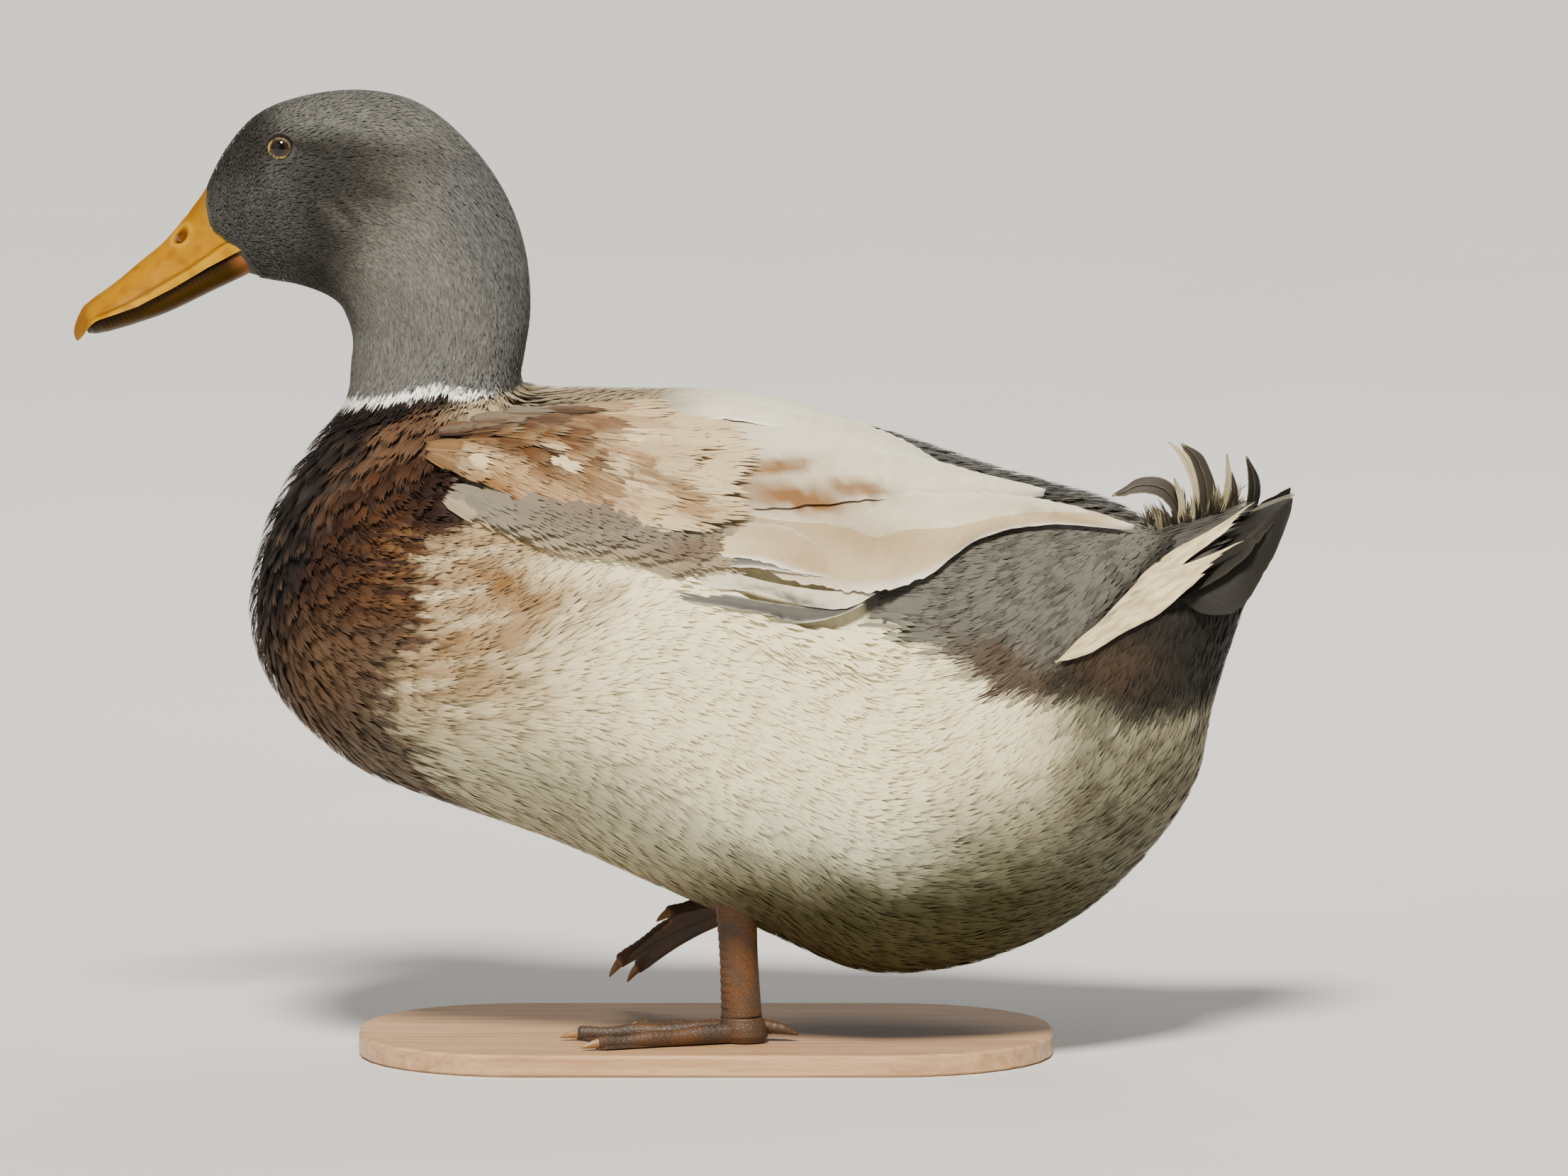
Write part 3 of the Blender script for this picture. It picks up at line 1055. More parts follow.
def laid_feathers(name, roots, headings, length, half, rises, tint, edge, mirror=False, **shape):
    """Feathers laid on the left side from roots, given as x and height in the photograph's view.

    headings are the directions in that view in radians, and rises three heights for each feather.
    """
    centres, outs = [[], [], []], [[], [], []]
    for (x, height), heading, reach in zip(roots, headings, length):
        for j, share in enumerate((0.0, 0.5, 1.0)):
            place, normal = seen_at(x + reach * share * math.cos(heading),
                                    height + reach * share * math.sin(heading))
            centres[j].append(np.array(place))
            outs[j].append(np.array(normal))
    way = np.array((1, -1 if mirror else 1, 1))
    centres = [np.array(c) * way for c in centres]
    outs = [unit(np.array(o)) * way for o in outs]
    place = np.stack(((centres[0][:, 0] + 110) / 300, (centres[0][:, 2] - 60) / 260), axis=1)
    return strand_feathers(name, centres, outs, rises, half, tint, edge, place, MATERIALS["contour"],
                           **shape)


def between_lines(low, high, x_gap, gap, rng):
    """Staggered places between two lines of x and height."""
    found = []
    for n, x in enumerate(np.arange(low[0][0], low[-1][0], x_gap)):
        bottom, top = border(low, x), border(high, x)
        number = max(1, int(round((top - bottom) / gap)))
        for k in range(number):
            share = (k + 0.25 + 0.5 * (n % 2)) / number
            found.append((x + rng.uniform(-0.25, 0.25) * x_gap,
                          bottom + (top - bottom) * share + rng.uniform(-0.2, 0.2) * gap, share))
    return np.array(found)


# The lower and upper borders of the shoulder's feathers, and the pad of small coverts below them
SHOULDER_LOW = ((-92, 206), (-84, 203), (-76, 199), (-66, 195), (-54, 192), (-40, 189), (-20, 187), (2, 186))
SHOULDER_HIGH = ((-92, 213), (-84, 216), (-76, 219), (-66, 222), (-54, 224), (-40, 225), (-20, 226),
                 (2, 225.5))
PAD_LOW = ((-84, 191), (-66, 184), (-49, 178), (-29, 175.5), (-8, 168), (6, 168), (28, 174))
PAD_HIGH = ((-84, 197), (-66, 193), (-49, 192), (-29, 190), (-8, 187), (6, 184), (28, 182))

# Patches on the shoulder: place in the view, size, tilt, ink and strength
SHOULDER_MARKS = (
    ((-69, 204), (9, 4.2), 0.2, "cream", 0.8), ((-80, 201.5), (6, 4.5), -0.6, "rust", 0.75),
    ((-57, 208.5), (13, 4.5), -0.2, "rust", 0.9), ((-47, 201.5), (7, 3.6), -0.7, "rust", 0.8),
    ((-59, 216.5), (7, 2.2), 0.1, "maroon", 0.8), ((-76, 213), (7, 1.8), 0.4, "maroon", 0.7),
    ((-39, 202.5), (5.5, 2.6), -1.0, "cream", 1.0), ((-43.5, 204), (9, 1.2), -1.05, "chestnut", 0.95),
    ((-28, 207), (6, 9), 0.6, "rust", 0.75), ((-24.5, 201), (9.5, 3.0), -0.85, "rust", 0.9),
    ((-21, 198), (8, 1.1), -0.8, "chestnut", 0.9), ((-16, 199.5), (7, 3.0), -0.75, "cream", 1.0),
    ((-34, 213), (10, 3), -0.3, "rust", 0.85), ((-38, 219.5), (12, 1.8), 0.35, "chestnut", 0.75),
    ((-21, 216), (9, 1.8), -0.2, "rust", 0.8), ((-11, 211.5), (8, 3.0), 0.1, "cream", 0.95),
    ((-6, 217.3), (8, 1.7), -0.1, "ochre", 0.75), ((5, 206.5), (9, 2.6), 0.1, "ochre", 0.65),
    ((-4, 195.8), (12, 3.2), -0.42, "rust", 0.9), ((-10, 203), (7, 2.0), -0.6, "sand", 0.7),
    ((5, 188), (12, 4.0), -0.25, "ochre", 1.0), ((-6, 191.5), (8, 2.0), -0.4, "cream", 0.6),
    ((18, 212), (10, 2.2), -0.1, "cream", 0.5), ((-31, 193.5), (10, 2.6), -0.5, "rust", 0.5),
)
# The dark line along the top of the shoulder, with taupe and slate above it
SHOULDER_LINE = ((-96, -86, -74, -59, -44.6, -29, -12), (206.4, 210.4, 214.4, 217, 219.8, 223.4, 228))


def shoulder_colour(points):
    """Tan and rust in front, cream behind, in patches and streaks that follow the feathers."""
    seen_x, seen_v = in_view(points)
    fine = streaks(seen_x, seen_v, -0.55, 2.4, 82)
    x = seen_x + 1.2 * wobble(points, 12, 83) + 1.4 * fine
    v = seen_v + 0.9 * wobble(points, 10, 84) + 0.8 * fine
    front = smooth(14, -50, x)
    flame = streaks(seen_x, seen_v, -0.55, 6, 85)
    colour = layered(
        plain("cream", points),
        ("sand", 0.25 + 0.65 * front),
        ("ochre", (0.2 + 0.6 * front) * past(flame, 0.35 - 0.5 * front, 0.4)),
        ("rust", 0.8 * front * past(fine + flame, 0.45, 0.5)),
    )
    colour = marked(colour, x, v, SHOULDER_MARKS)
    colour = layered(colour, ("web_warm", 0.85 * smooth(-22, 14, x + 5 * flame)))
    colour = marked(colour, x, v, SHOULDER_MARKS[-6:], 0.7)
    # Above the dark line
    line = np.interp(seen_x, *SHOULDER_LINE)
    over = past(v, line + 0.6, 1.6) * smooth(0, -20, seen_x)
    slate = streaks(seen_x, seen_v, 0.42, 3.0, 86)
    dark = np.exp(-(((v - line) / 1.1) ** 2)) * smooth(-22, -44, seen_x) * past(fine, -0.5, 0.5)
    return layered(
        colour,
        ("taupe", 0.8 * over),
        ("pad", 0.85 * over * smooth(-84, -52, seen_x)),
        ("grey", over * 0.45 * past(slate, 0.3, 0.4)),
        ("rust", over * 0.5 * past(-slate, 0.35, 0.4)),
        ("chestnut", 0.85 * dark),
        ("taupe", 0.85 * smooth(-82, -94, x)),
    )


def small_coverts(name, mirror=False):
    """The smooth beige pad of small feathers between the shoulder and the flank."""
    rng = np.random.default_rng(11)
    x, v, share = between_lines(PAD_LOW, PAD_HIGH, 4.2, 3.4, rng).T
    count = len(x)
    length = rng.uniform(15, 18, count)
    heading = -0.30 - 0.25 * smooth(20, -70, x) + rng.normal(size=count) * 0.04
    edge_in = smooth(0.0, 0.3, share) * smooth(-86, -66, x)
    rises = (-0.5, 0.8 + 1.8 * edge_in, 1.2 + 2.4 * edge_in)
    tint = layered(
        plain("pad", x) * rng.uniform(0.97, 1.04, (count, 1)),
        ("rust", 0.5 * spot(x, v, (-8, 177), (20, 5)) + 0.3 * spot(x, v, (-44, 190), (18, 5))),
        ("cream", 0.45 * smooth(-10, 26, x) + 0.25 * smooth(0.4, 0.0, share)),
    )
    edge = np.column_stack((np.clip(tint * 1.12, 0, 1), np.full(count, 0.15)))
    return laid_feathers(name, np.stack((x, v), 1), heading, length, 4.6, rises, tint, edge, mirror,
                         blades=11, rings=2, spread=0.55, ragged=0.05, crown=0.06, wide=2.2, deep=0.97)


def shoulder_feathers(name, mirror=False):
    """Large loose feathers over the shoulder: brown with frayed cream tips in front, cream behind."""
    rng = np.random.default_rng(5)
    found = between_lines(SHOULDER_LOW, SHOULDER_HIGH, 5.6, 4.2, rng)
    found = found[rng.random(len(found)) > 0.75 * smooth(-26, 0, found[:, 0])]
    if mirror:
        found = found[found[:, 2] < 0.93]
    x, v, share = found[np.argsort(-found[:, 0])].T
    count = len(x)
    length = (15 + 15 * smooth(-84, -20, x)) * rng.uniform(0.92, 1.1, count)
    heading = -0.10 - 0.42 * smooth(10, -70, x) * smooth(1.0, 0.3, share)
    heading = heading + 0.30 * smooth(-60, -90, x) * share + rng.normal(size=count) * 0.05
    edge_in = smooth(0.0, 0.4, 1 - share) * smooth(-98, -78, x)
    height = (1.2 + 4.6 * smooth(-55, 4, x)) * (0.4 if mirror else 1.0)
    rises = (-0.4, 1.0 + height * 0.62 * edge_in, (1.2 + height * edge_in) * rng.uniform(0.92, 1.1, count))
    strength = (0.02 + 0.22 * rng.random(count)) * smooth(1.0, 0.75, share) * smooth(-90, -70, x)
    half = 4.2 + 3.0 * smooth(-84, -30, x)
    edge = np.column_stack((plain("cream", x), strength))

    def paint(points, owner):
        return shoulder_colour(points)

    return laid_feathers(name, np.stack((x, v), 1), heading, length, half, rises, None, edge, mirror,
                         blades=17, rings=3, spread=0.45, ragged=0.08, crown=0.05, wide=2.3, deep=0.97,
                         paint=paint)


# Tail


def tail_line(share, count=22, rise=0.0):
    """The line of a tail feather at a share across the fan, -1 at its left edge."""
    t = np.linspace(0, 1, count)[:, None]
    root = np.array((163 - 26 * abs(share) ** 1.6, 30 * share, 178 - 34 * share ** 2))
    tip = np.array((219.8 - 18 * abs(share) ** 1.8, 39 * share, 192.5 - 13 * share ** 2))
    centres = root + (tip - root) * t
    centres[:, 2] += (-3 * np.sin(math.pi * t) + rise)[:, 0]
    ahead = unit(np.gradient(centres, axis=0))
    slope = unit(np.array((0.0, 0.75 * share, 1.0)))
    side = unit(np.cross(ahead, slope))
    return centres, unit(np.cross(side, ahead)), side


def tail_vanes():
    """Rectrices from the edges to the middle, dark grey-brown."""
    vanes = []
    for k in range(1, 9):
        for way in (-1, 1):
            share = way * (1 - k / 8.6)
            edges = (0.3, 0.1) if way < 0 else (0.1, 0.3)
            ink = "lump" if k > 7 else "tail_dark"
            vanes.append(line_vane(tail_line(share, rise=0.35 * k - 1.2), 7.6, ink, "tail_edge", *edges,
                                   tip=0.62, arch=0.10))
    return vanes


def in_space(points):
    """Points given as x, height in the photograph's view and y, as points in space."""
    return [(x, y, (height + abs(y) * RISE_SIN) / RISE_COS) for x, height, y in points]


def spanned_vane(first, second, web, edge, low_edge, high_edge, lift=0.0, count=30, arch=0.08):
    """A vane spanned between two edge lines, each given as x, height in the view and y."""
    first, second = through(in_space(first), count), through(in_space(second), count)
    over = second - first
    grid = first[:, None] + over[:, None] * np.linspace(0, 1, ACROSS)[None, :, None]
    outs = unit(np.cross(np.gradient(grid, axis=0), over[:, None]))
    outs = np.where(outs[..., 1:2] > 0, -outs, outs)
    lifted = (grid + outs * lift).reshape(-1, 3)
    grid = np.array([before_body(point) for point in lifted]).reshape(grid.shape)
    return Vane(grid, outs, web, edge, low_edge, high_edge, arch * np.linalg.norm(over, axis=1)[:, None] / 2)


# Behind this x the tail's feathers stand free, and before it they lie this far outside the body
TAIL_FREE = 186
CLEARANCE = 1.2


def before_body(point):
    """A point on the left, brought forward along the view where it lies inside the body."""
    x, y, z = point
    if x > TAIL_FREE:
        return point
    height = z * RISE_COS + y * RISE_SIN
    place, _ = seen_at(float(x), float(height))
    near = place.y - CLEARANCE
    if place.y > -6 or y < near:
        return point
    return np.array((x, near, (height - near * RISE_SIN) / RISE_COS))


# The dark edge of the tail's fan and the two pale bands beside it: inner and outer edge, each as x, height
# in the view and y, and in how many feathers a band lies
TAIL_SIDE = (
    ((178, 156, -33), (188, 165, -34), (200, 175, -32), (210, 184, -26), (219.2, 191.2, -16)),
    ((178.4, 154, -33.4), (188, 149, -37), (200, 151.8, -37), (207.6, 163, -32), (213.6, 173.6, -26),
     (217.4, 182.4, -18)),
)
BANDS = (
    (((133.6, 131.8, -31), (142, 140.8, -31), (149.5, 147, -31), (155.5, 153.5, -31), (161, 159, -30.5),
      (168, 164, -34), (178.5, 166.8, -35.5), (189.6, 170.8, -37), (200.9, 175.8, -38.5)),
     ((133.3, 131.2, -33), (140, 133.2, -33.5), (146.4, 135.4, -34), (152.5, 139, -35), (158.7, 142.7, -36),
      (171.1, 149.5, -38), (181.5, 158.4, -39.5), (190.9, 165.6, -40), (200.8, 175.2, -39.5)), 4),
    (((161, 158.5, -28), (165, 163.7, -27), (171.1, 168.7, -27), (177.3, 173, -27), (183.4, 176.1, -27),
      (189.6, 179.6, -28), (196, 183.6, -29), (205.1, 189.7, -30)),
     ((161, 157, -31), (167, 160, -33), (174.2, 162.6, -34), (179.7, 167, -34), (185, 171, -33.5),
      (189.6, 174.4, -33), (197, 180.4, -32), (204.8, 189, -31)), 3),
)


def band_vanes():
    """The tail's dark edge and the feathers of both pale bands, each band from its inner feather out."""
    vanes = [spanned_vane(*TAIL_SIDE, "tail_dark", "tail_edge", 0.2, 0.3, -0.6)]
    for inner, outer, number in reversed(BANDS):
        inner, outer = np.array(inner, float), np.array(outer, float)
        for k in range(number):
            last = int(24 * (1 - 0.05 * k))
            above, below = (through(inner + (outer - inner) * share, 24)[:last]
                            for share in (max(k - 0.35, 0) / number, (k + 1) / number))
            above[-1] = below[-1] = above[-1] * 0.5 + below[-1] * 0.5
            vanes.append(spanned_vane(above, below, "tail_cream", "tail_tan", 0.1, 0.85, 0.5 + 0.35 * k))
    return vanes


def band_marks(points, tint):
    """The bands fray into the grey rump in front, and carry fine tan lines along their feathers."""
    x, v = in_view(points)
    pale = smooth(0.25, 0.45, tint[:, 0])
    low = np.interp(x, (133, 146, 159, 171, 181), (130, 135, 141.5, 148.5, 157))
    frayed = 0.8 * smooth(178, 152, x) * smooth(6, 14, v - low) * past(streaks(x, v, 0.4, 2.4, 32), 0.1, 0.3)
    lines = 0.6 * pale * past(streaks(x, v, 0.66, 1.9, 31), 0.1, 0.5)
    return layered(tint, ("tail_tan", lines), ("rump", frayed))


# The curled feathers over the tail: a left and a right edge as x and height in the view, y, and its ink
CURLS = (
    (((177, 180), (175.8, 186), (172, 190.8), (167.3, 192.7), (162, 192.7), (158.4, 191.8), (153.9, 191.7)),
     ((181.4, 181), (179.8, 189), (176, 195.8), (170.6, 198.7), (163.7, 198.3), (158.4, 195), (153.8, 192)),
     -2, "curl"),
    (((177.4, 182), (177.8, 189), (176.8, 194), (175.9, 198)),
     ((180.4, 182), (180.4, 189), (178.8, 194), (176, 198.4)), -5, "curl_edge"),
    (((179.4, 180), (182.6, 188), (182.7, 195), (180.6, 200.8), (178, 206), (174.2, 211)),
     ((184.6, 181), (185.6, 189), (185.2, 195), (183.8, 201), (181, 206.8), (174.5, 211.2)),
     -4, "curl_edge"),
    (((183, 182), (184.4, 190), (184.2, 196), (183, 201), (181, 206), (178.4, 210.4)),
     ((191.4, 182), (192.2, 190), (191.4, 195), (189.4, 201), (186, 207), (178.9, 210.8)), -1, "curl"),
    (((188.4, 180), (191.6, 186), (193.6, 191.4), (194.6, 198), (194.8, 206.6)),
     ((192, 181), (195, 187.4), (196.6, 193), (196.9, 199), (195.1, 207)), -5, "curl_edge"),
    (((191, 180), (195, 187), (196.8, 193), (196.8, 200)),
     ((198, 183), (199.2, 189), (199, 195), (196.9, 200.3)), -2, "curl"),
    (((201.6, 186), (202.8, 193), (202.7, 200), (201.9, 205.8)),
     ((206, 187), (207.4, 193), (206.6, 199), (202.2, 206.2)), -1, "tail_web"),
)


def curled_vanes():
    """The curled feathers over the tail, each split into two vanes that lie in one another."""
    vanes = []
    for left, right, y, ink in CURLS:
        left, right = np.array(left, float), np.array(right, float)
        for k, (low, high) in enumerate(((0.0, 0.60), (0.48, 1.0))):
            lines = []
            for share in (low, high):
                flat = left + (right - left) * share
                # The feather leans over from its root to its tip
                lean = y - 1.6 * k + 5 * (share - 0.5) - 3.0 * np.linspace(0, 1, len(flat)) ** 2
                lines.append(np.column_stack((flat, lean)))
            vanes.append(spanned_vane(lines[0], lines[1], ink, "curl_edge", 0.8, 0.15, count=34, arch=0.3))
    return vanes


def curl_tuft():
    """Fine dark and cream hairs that rise round the roots of the curled feathers."""
    rng = np.random.default_rng(21)
    count = 90
    x = rng.uniform(168, 196, count)
    y = rng.uniform(-7, 7, count)
    length = rng.uniform(7, 14, count)
    lean = np.radians(70 + 34 * smooth(190, 172, x) + rng.normal(size=count) * 10)
    foot = np.stack((x, y, 178 + (x - 168) * 0.32 - np.abs(y) * 0.25), axis=1)
    ahead = np.stack((np.cos(lean), 0.06 * y, np.sin(lean)), axis=1)
    bow = np.stack((-np.sin(lean), np.zeros(count), np.cos(lean)), axis=1) * (0.10 * length)[:, None]
    centres = [foot, foot + ahead * (length * 0.5)[:, None], foot + ahead * length[:, None] + bow]
    outs = [np.tile((0.15, -1.0, 0.1), (count, 1))] * 3
    ink = np.where((rng.random(count) < 0.15)[:, None], INK["curl_edge"] * 0.5, INK["tail_web"])
    edge = np.column_stack((plain("curl_edge", x), rng.uniform(0, 0.6, count)))
    place = np.stack(((x - 160) / 50, 0.5 + y / 20), axis=1)
    return strand_feathers("tail_curl_tuft", centres, outs, (0.0, 0.0, 0.0), 1.3, ink, edge, place,
                           MATERIALS["contour"], blades=5, rings=2, spread=0.3, ragged=0.15, wide=1.1)


def tail_coverts(name, under=False, seed=3):
    """Soft feathers over or under the roots of the tail feathers."""
    rng = np.random.default_rng(seed)
    last = 0.30 if under else 0.42
    shares, starts = np.meshgrid(np.linspace(-0.98, 0.98, 17), np.linspace(-0.30, last, 7))
    shares = (shares + rng.uniform(-0.06, 0.06, shares.shape)).ravel()
    starts = (starts + rng.uniform(-0.04, 0.04, starts.shape)).ravel()
    drop, way, ink, rim = (-4.6, -1, "tail_dark", "vent_brown") if under else (1.4, 1, "rump", "tail_edge")
    centres, outs = [[], [], []], [[], [], []]
    for share, start in zip(shares, starts):
        line, normals, _ = tail_line(float(np.clip(share, -1, 1)), 3)
        root, tip = line[0], line[-1]
        for j, reach in enumerate((0.0, 0.18, 0.36)):
            centres[j].append(root + (tip - root) * (start + reach) + normals[1] * drop)
            outs[j].append(normals[1] * way)
    centres = [np.array(c) for c in centres]
    outs = [unit(np.array(o)) for o in outs]
    count = len(shares)
    rises = (0.0, 1.4, 1.6 * rng.uniform(0.6, 1.2, count))
    tint = plain(ink, shares) * rng.uniform(0.85, 1.15, (count, 1))
    edge = np.column_stack((plain(rim, shares), rng.uniform(0.1, 0.6, count)))
    place = np.stack((0.1 + 0.7 * (starts + 0.3), 0.5 + 0.45 * np.clip(shares, -1, 1)), axis=1)
    return strand_feathers(name, centres, outs, rises, 4.6, tint, edge, place, MATERIALS["contour"],
                           blades=11, rings=2, spread=0.5, ragged=0.10, crown=0.12, wide=1.6)


# Bill


GAPE = (-156.5, 283.0)
BILL_SLOPE = math.radians(25.7)
BILL_COS, BILL_SIN = math.cos(BILL_SLOPE), math.sin(BILL_SLOPE)
# Distance from the gape, height of the ridge, half width
UPPER_BILL = np.array((
    (-6, 31, 13.6), (0, 28.2, 13.6), (7, 24, 13.3), (14, 20.2, 13.0), (26, 15, 12.8), (37, 12.2, 13.4),
    (48, 9.4, 14.6), (57, 7.8, 14.4), (62.5, 6.9, 11.6), (66, 6.2, 8.2), (68.2, 5.5, 5.6), (69.4, 4.3, 3.6),
    (69.9, 2.9, 1.6),
))
# Distance from the gape, depth, half width
LOWER_BILL = np.array((
    (-8, 8, 11), (2, 9, 12), (18, 9, 11.8), (36, 9, 11.8), (50, 7.4, 12.8), (58, 6, 11.6), (62.5, 4.8, 7.6),
    (64.8, 3.6, 3.0),
))
# The rolled rim's lowest height and the groove's height over the cutting edge, by distance from the gape
RIM = ((-6, 0, 15, 28.5, 44, 58, 70), (1.2, 1.4, 0.8, -0.4, -0.8, 0.8, 1.0))
GROOVE = ((-6, 8, 21.8, 37.5, 47.8, 57.8), (7.0, 5.6, 3.4, 2.2, 1.8, 2.2))
NOSTRIL = (19.4, 4.6)
NAIL_AT = 64.6
COMB_GAP = 1.7


def on_bill(along, side, up):
    """Points on the bill, from their distance from the gape, to its left and over its cutting edge."""
    return np.stack((GAPE[0] - along * BILL_COS - up * BILL_SIN, -side,
                     GAPE[1] - along * BILL_SIN + up * BILL_COS), axis=-1)


def table_at(table, along):
    """A table's numbers at a distance, on a smooth curve through its rows."""
    return rows_at(table, np.interp([along], table[:, 0], np.arange(len(table))))[0]


def lofted(name, rings, tint_of, material, closed=False):
    """A closed piece bridged through rings of points in millimetres, tinted by a function of its points."""
    bm = bmesh.new()
    loops = []
    for ring in rings:
        corners = [bm.verts.new(point) for point in ring]
        loops.append([bm.edges.new(pair) for pair in zip(corners, corners[1:] + corners[:1])])
    for first, second in zip(loops, loops[1:] + loops[:closed]):
        bmesh.ops.bridge_loops(bm, edges=first + second)
    for loop in () if closed else (loops[0], loops[-1]):
        bmesh.ops.edgeloop_fill(bm, edges=loop)
    return finished(name, bm, tint_of, material)


def finished(name, bm, tint_of, material):
    """An object from a bmesh in millimetres, with outward normals, smooth faces and a tint."""
    bmesh.ops.recalc_face_normals(bm, faces=bm.faces)
    for face in bm.faces:
        face.smooth = True
    points = np.array([vert.co for vert in bm.verts])
    bmesh.ops.translate(bm, verts=bm.verts, vec=(0, 0, GROUND))
    bmesh.ops.scale(bm, verts=bm.verts, vec=(MM, MM, MM))
    mesh = bpy.data.meshes.new(name)
    bm.to_mesh(mesh)
    bm.free()
    give_tint(mesh, tint_of(points))
    mesh.materials.append(material)
    return placed(name, mesh)


def bill_frame(points):
    """Distance from the gape, to the left and over the cutting edge, of points on the bill."""
    dx, dz = points[:, 0] - GAPE[0], points[:, 2] - GAPE[1]
    return -dx * BILL_COS - dz * BILL_SIN, -points[:, 1], -dx * BILL_SIN + dz * BILL_COS


def upper_tint(points):
    """Orange-yellow bill, yellower along its rim, with a dark groove and red-brown nostrils."""
    along, side, up = bill_frame(points)
    up = up + nail_hook(along)
    groove = np.interp(along, *GROOVE)
    line = np.exp(-(((up - groove) / 0.42) ** 2)) * smooth(63, 55, along) * smooth(-2, 5, along)
    from_nostril = nostril_reach(along, side)
    tint = layered(
        plain("bill", points),
        ("bill_root", smooth(14, 26, up) * smooth(24, 4, along)),
        ("bill_skin", 0.6 * smooth(12, 6, along) * smooth(6, 14, up)),
        ("bill_rim", smooth(groove, groove - 0.8, up) * 0.8),
        ("bill_groove", 0.85 * line),
        ("nostril_lip", 0.3 * np.exp(-(((from_nostril - 1.5) / 0.35) ** 2)) * (up > 7)),
        ("nostril", smooth(1.25, 0.8, from_nostril) * (up > 7)),
        ("nail", smooth(59, 66, along) * 0.55),
        ("bill_blotch", 0.5 * past(wobble(points, 8, 44), 0.5, 0.5)),
    )
    tone = 1 + 0.05 * wobble(points, 9, 41) + 0.03 * wobble(points, 3, 42)
    return np.clip(tint * tone[:, None], 0, 1)


def nail_hook(along):
    """How far the nail at the tip bends down, at distances from the gape."""
    return 4.4 * smooth(58, 70, along) ** 1.3


def nostril_reach(along, side):
    """How far points lie from a nostril's middle, 1 at its edge."""
    return np.hypot((along - NOSTRIL[0]) / 2.7, (np.abs(side) - NOSTRIL[1]) / 1.6)


def lower_tint(points):
    """Lower bill: brown with dark comb plates, yellower below, and a pink hinge."""
    along, _, up = bill_frame(points)
    comb = 0.5 + 0.5 * np.sin(along * 2 * math.pi / COMB_GAP)
    tint = layered(
        plain("lower_bill", points),
        ("lower_edge", smooth(-4.5, -0.5, up) * 0.8),
        ("comb", comb * smooth(-5.0, -1.0, up) * smooth(6, 14, along) * 0.7),
        ("hinge", smooth(9, -1, along) * 0.85),
    )
    return tint * (1 + 0.06 * wobble(points, 7, 43))[:, None]


def upper_bill():
    """The upper bill: a broad arched blade with a grooved rim, nostrils and a hooked nail."""
    rings = []
    for along in np.concatenate((np.arange(-6, 60, 0.6), np.linspace(60, 69.9, 24))):
        _, ridge, half = table_at(UPPER_BILL, along)
        rim, level = float(np.interp(along, *RIM)), float(np.interp(along, *GROOVE))
        power = 1.35 + 1.0 * smooth(0, 46, along)
        share = np.sin(np.linspace(-math.pi / 2, math.pi / 2, 75))
        height = rim + (ridge - rim) * (1 - np.abs(share) ** power)
        side = half * share
        # The groove along the edge, with the rolled rim below it
        deep = smooth(64, 54, along) * smooth(-2, 6, along)
        groove = np.exp(-(((height - level) / 0.6) ** 2)) * deep
        roll = np.exp(-(((height - (level + rim) / 2) / 0.9) ** 2)) * deep
        side = side * (1 - 0.035 * groove + 0.02 * roll)
        from_nostril = nostril_reach(along, side)
        lip = 0.5 * np.exp(-(((from_nostril - 1.5) / 0.4) ** 2))
        hollow = 2.3 * np.exp(-(from_nostril ** 2) * 1.4) - lip
        nail = 0.6 * np.exp(-(((along - NAIL_AT) / 3.4) ** 2 + (side / 3.8) ** 2) ** 2)
        height = height - hollow * (np.abs(share) < 0.85) + nail - nail_hook(along)
        inside = np.linspace(1, -1, 31)[1:-1]
        palate = rim - 0.1 + (2.0 - rim) * (1 - inside ** 6) * smooth(69, 62, along) - nail_hook(along)
        rings.append(np.concatenate((on_bill(along, side, height),
                                     on_bill(along, half * 0.975 * inside, palate))))
    return lofted("bill_upper_skin", rings, upper_tint, MATERIALS["bill"])


def lower_bill():
    """The lower bill: a shallow trough with comb plates along its edge."""
    rings = []
    for along in np.concatenate((np.arange(-8, 58, 0.55), np.linspace(58, 64.8, 12))):
        _, depth, half = table_at(LOWER_BILL, along)
        comb = 0.22 * math.sin(along * 2 * math.pi / COMB_GAP) * smooth(4, 10, along) * smooth(60, 54, along)
        angle = np.linspace(0, math.pi, 31)
        side = half * np.cos(angle) * (1 + comb / half * (np.sin(angle) < 0.45))
        under = on_bill(along, side, 0.5 - depth * np.sin(angle) ** 0.8)
        above = on_bill(along, half * np.linspace(-1, 1, 17)[1:-1] * 0.98, np.full(15, 0.7))
        rings.append(np.concatenate((under, above)))
    return lofted("bill_lower_skin", rings, lower_tint, MATERIALS["bill"])


# Eyes


EYE_CENTRE = (-143.6, 15.3, 320.4)
EYE_RADIUS = 5.6
LID_REACH = (3.6 + 0.3, 3.2 + 0.3)


def eye_frame(way):
    """An eye's middle, where it looks, and its forward and upward directions. way is -1 on the left."""
    look = Vector((-0.22, way, 0.10)).normalized()
    up = (Vector((0, 0, 1)) - look * look.z).normalized()
    return Vector((EYE_CENTRE[0], way * EYE_CENTRE[1], EYE_CENTRE[2])), look, look.cross(up), up


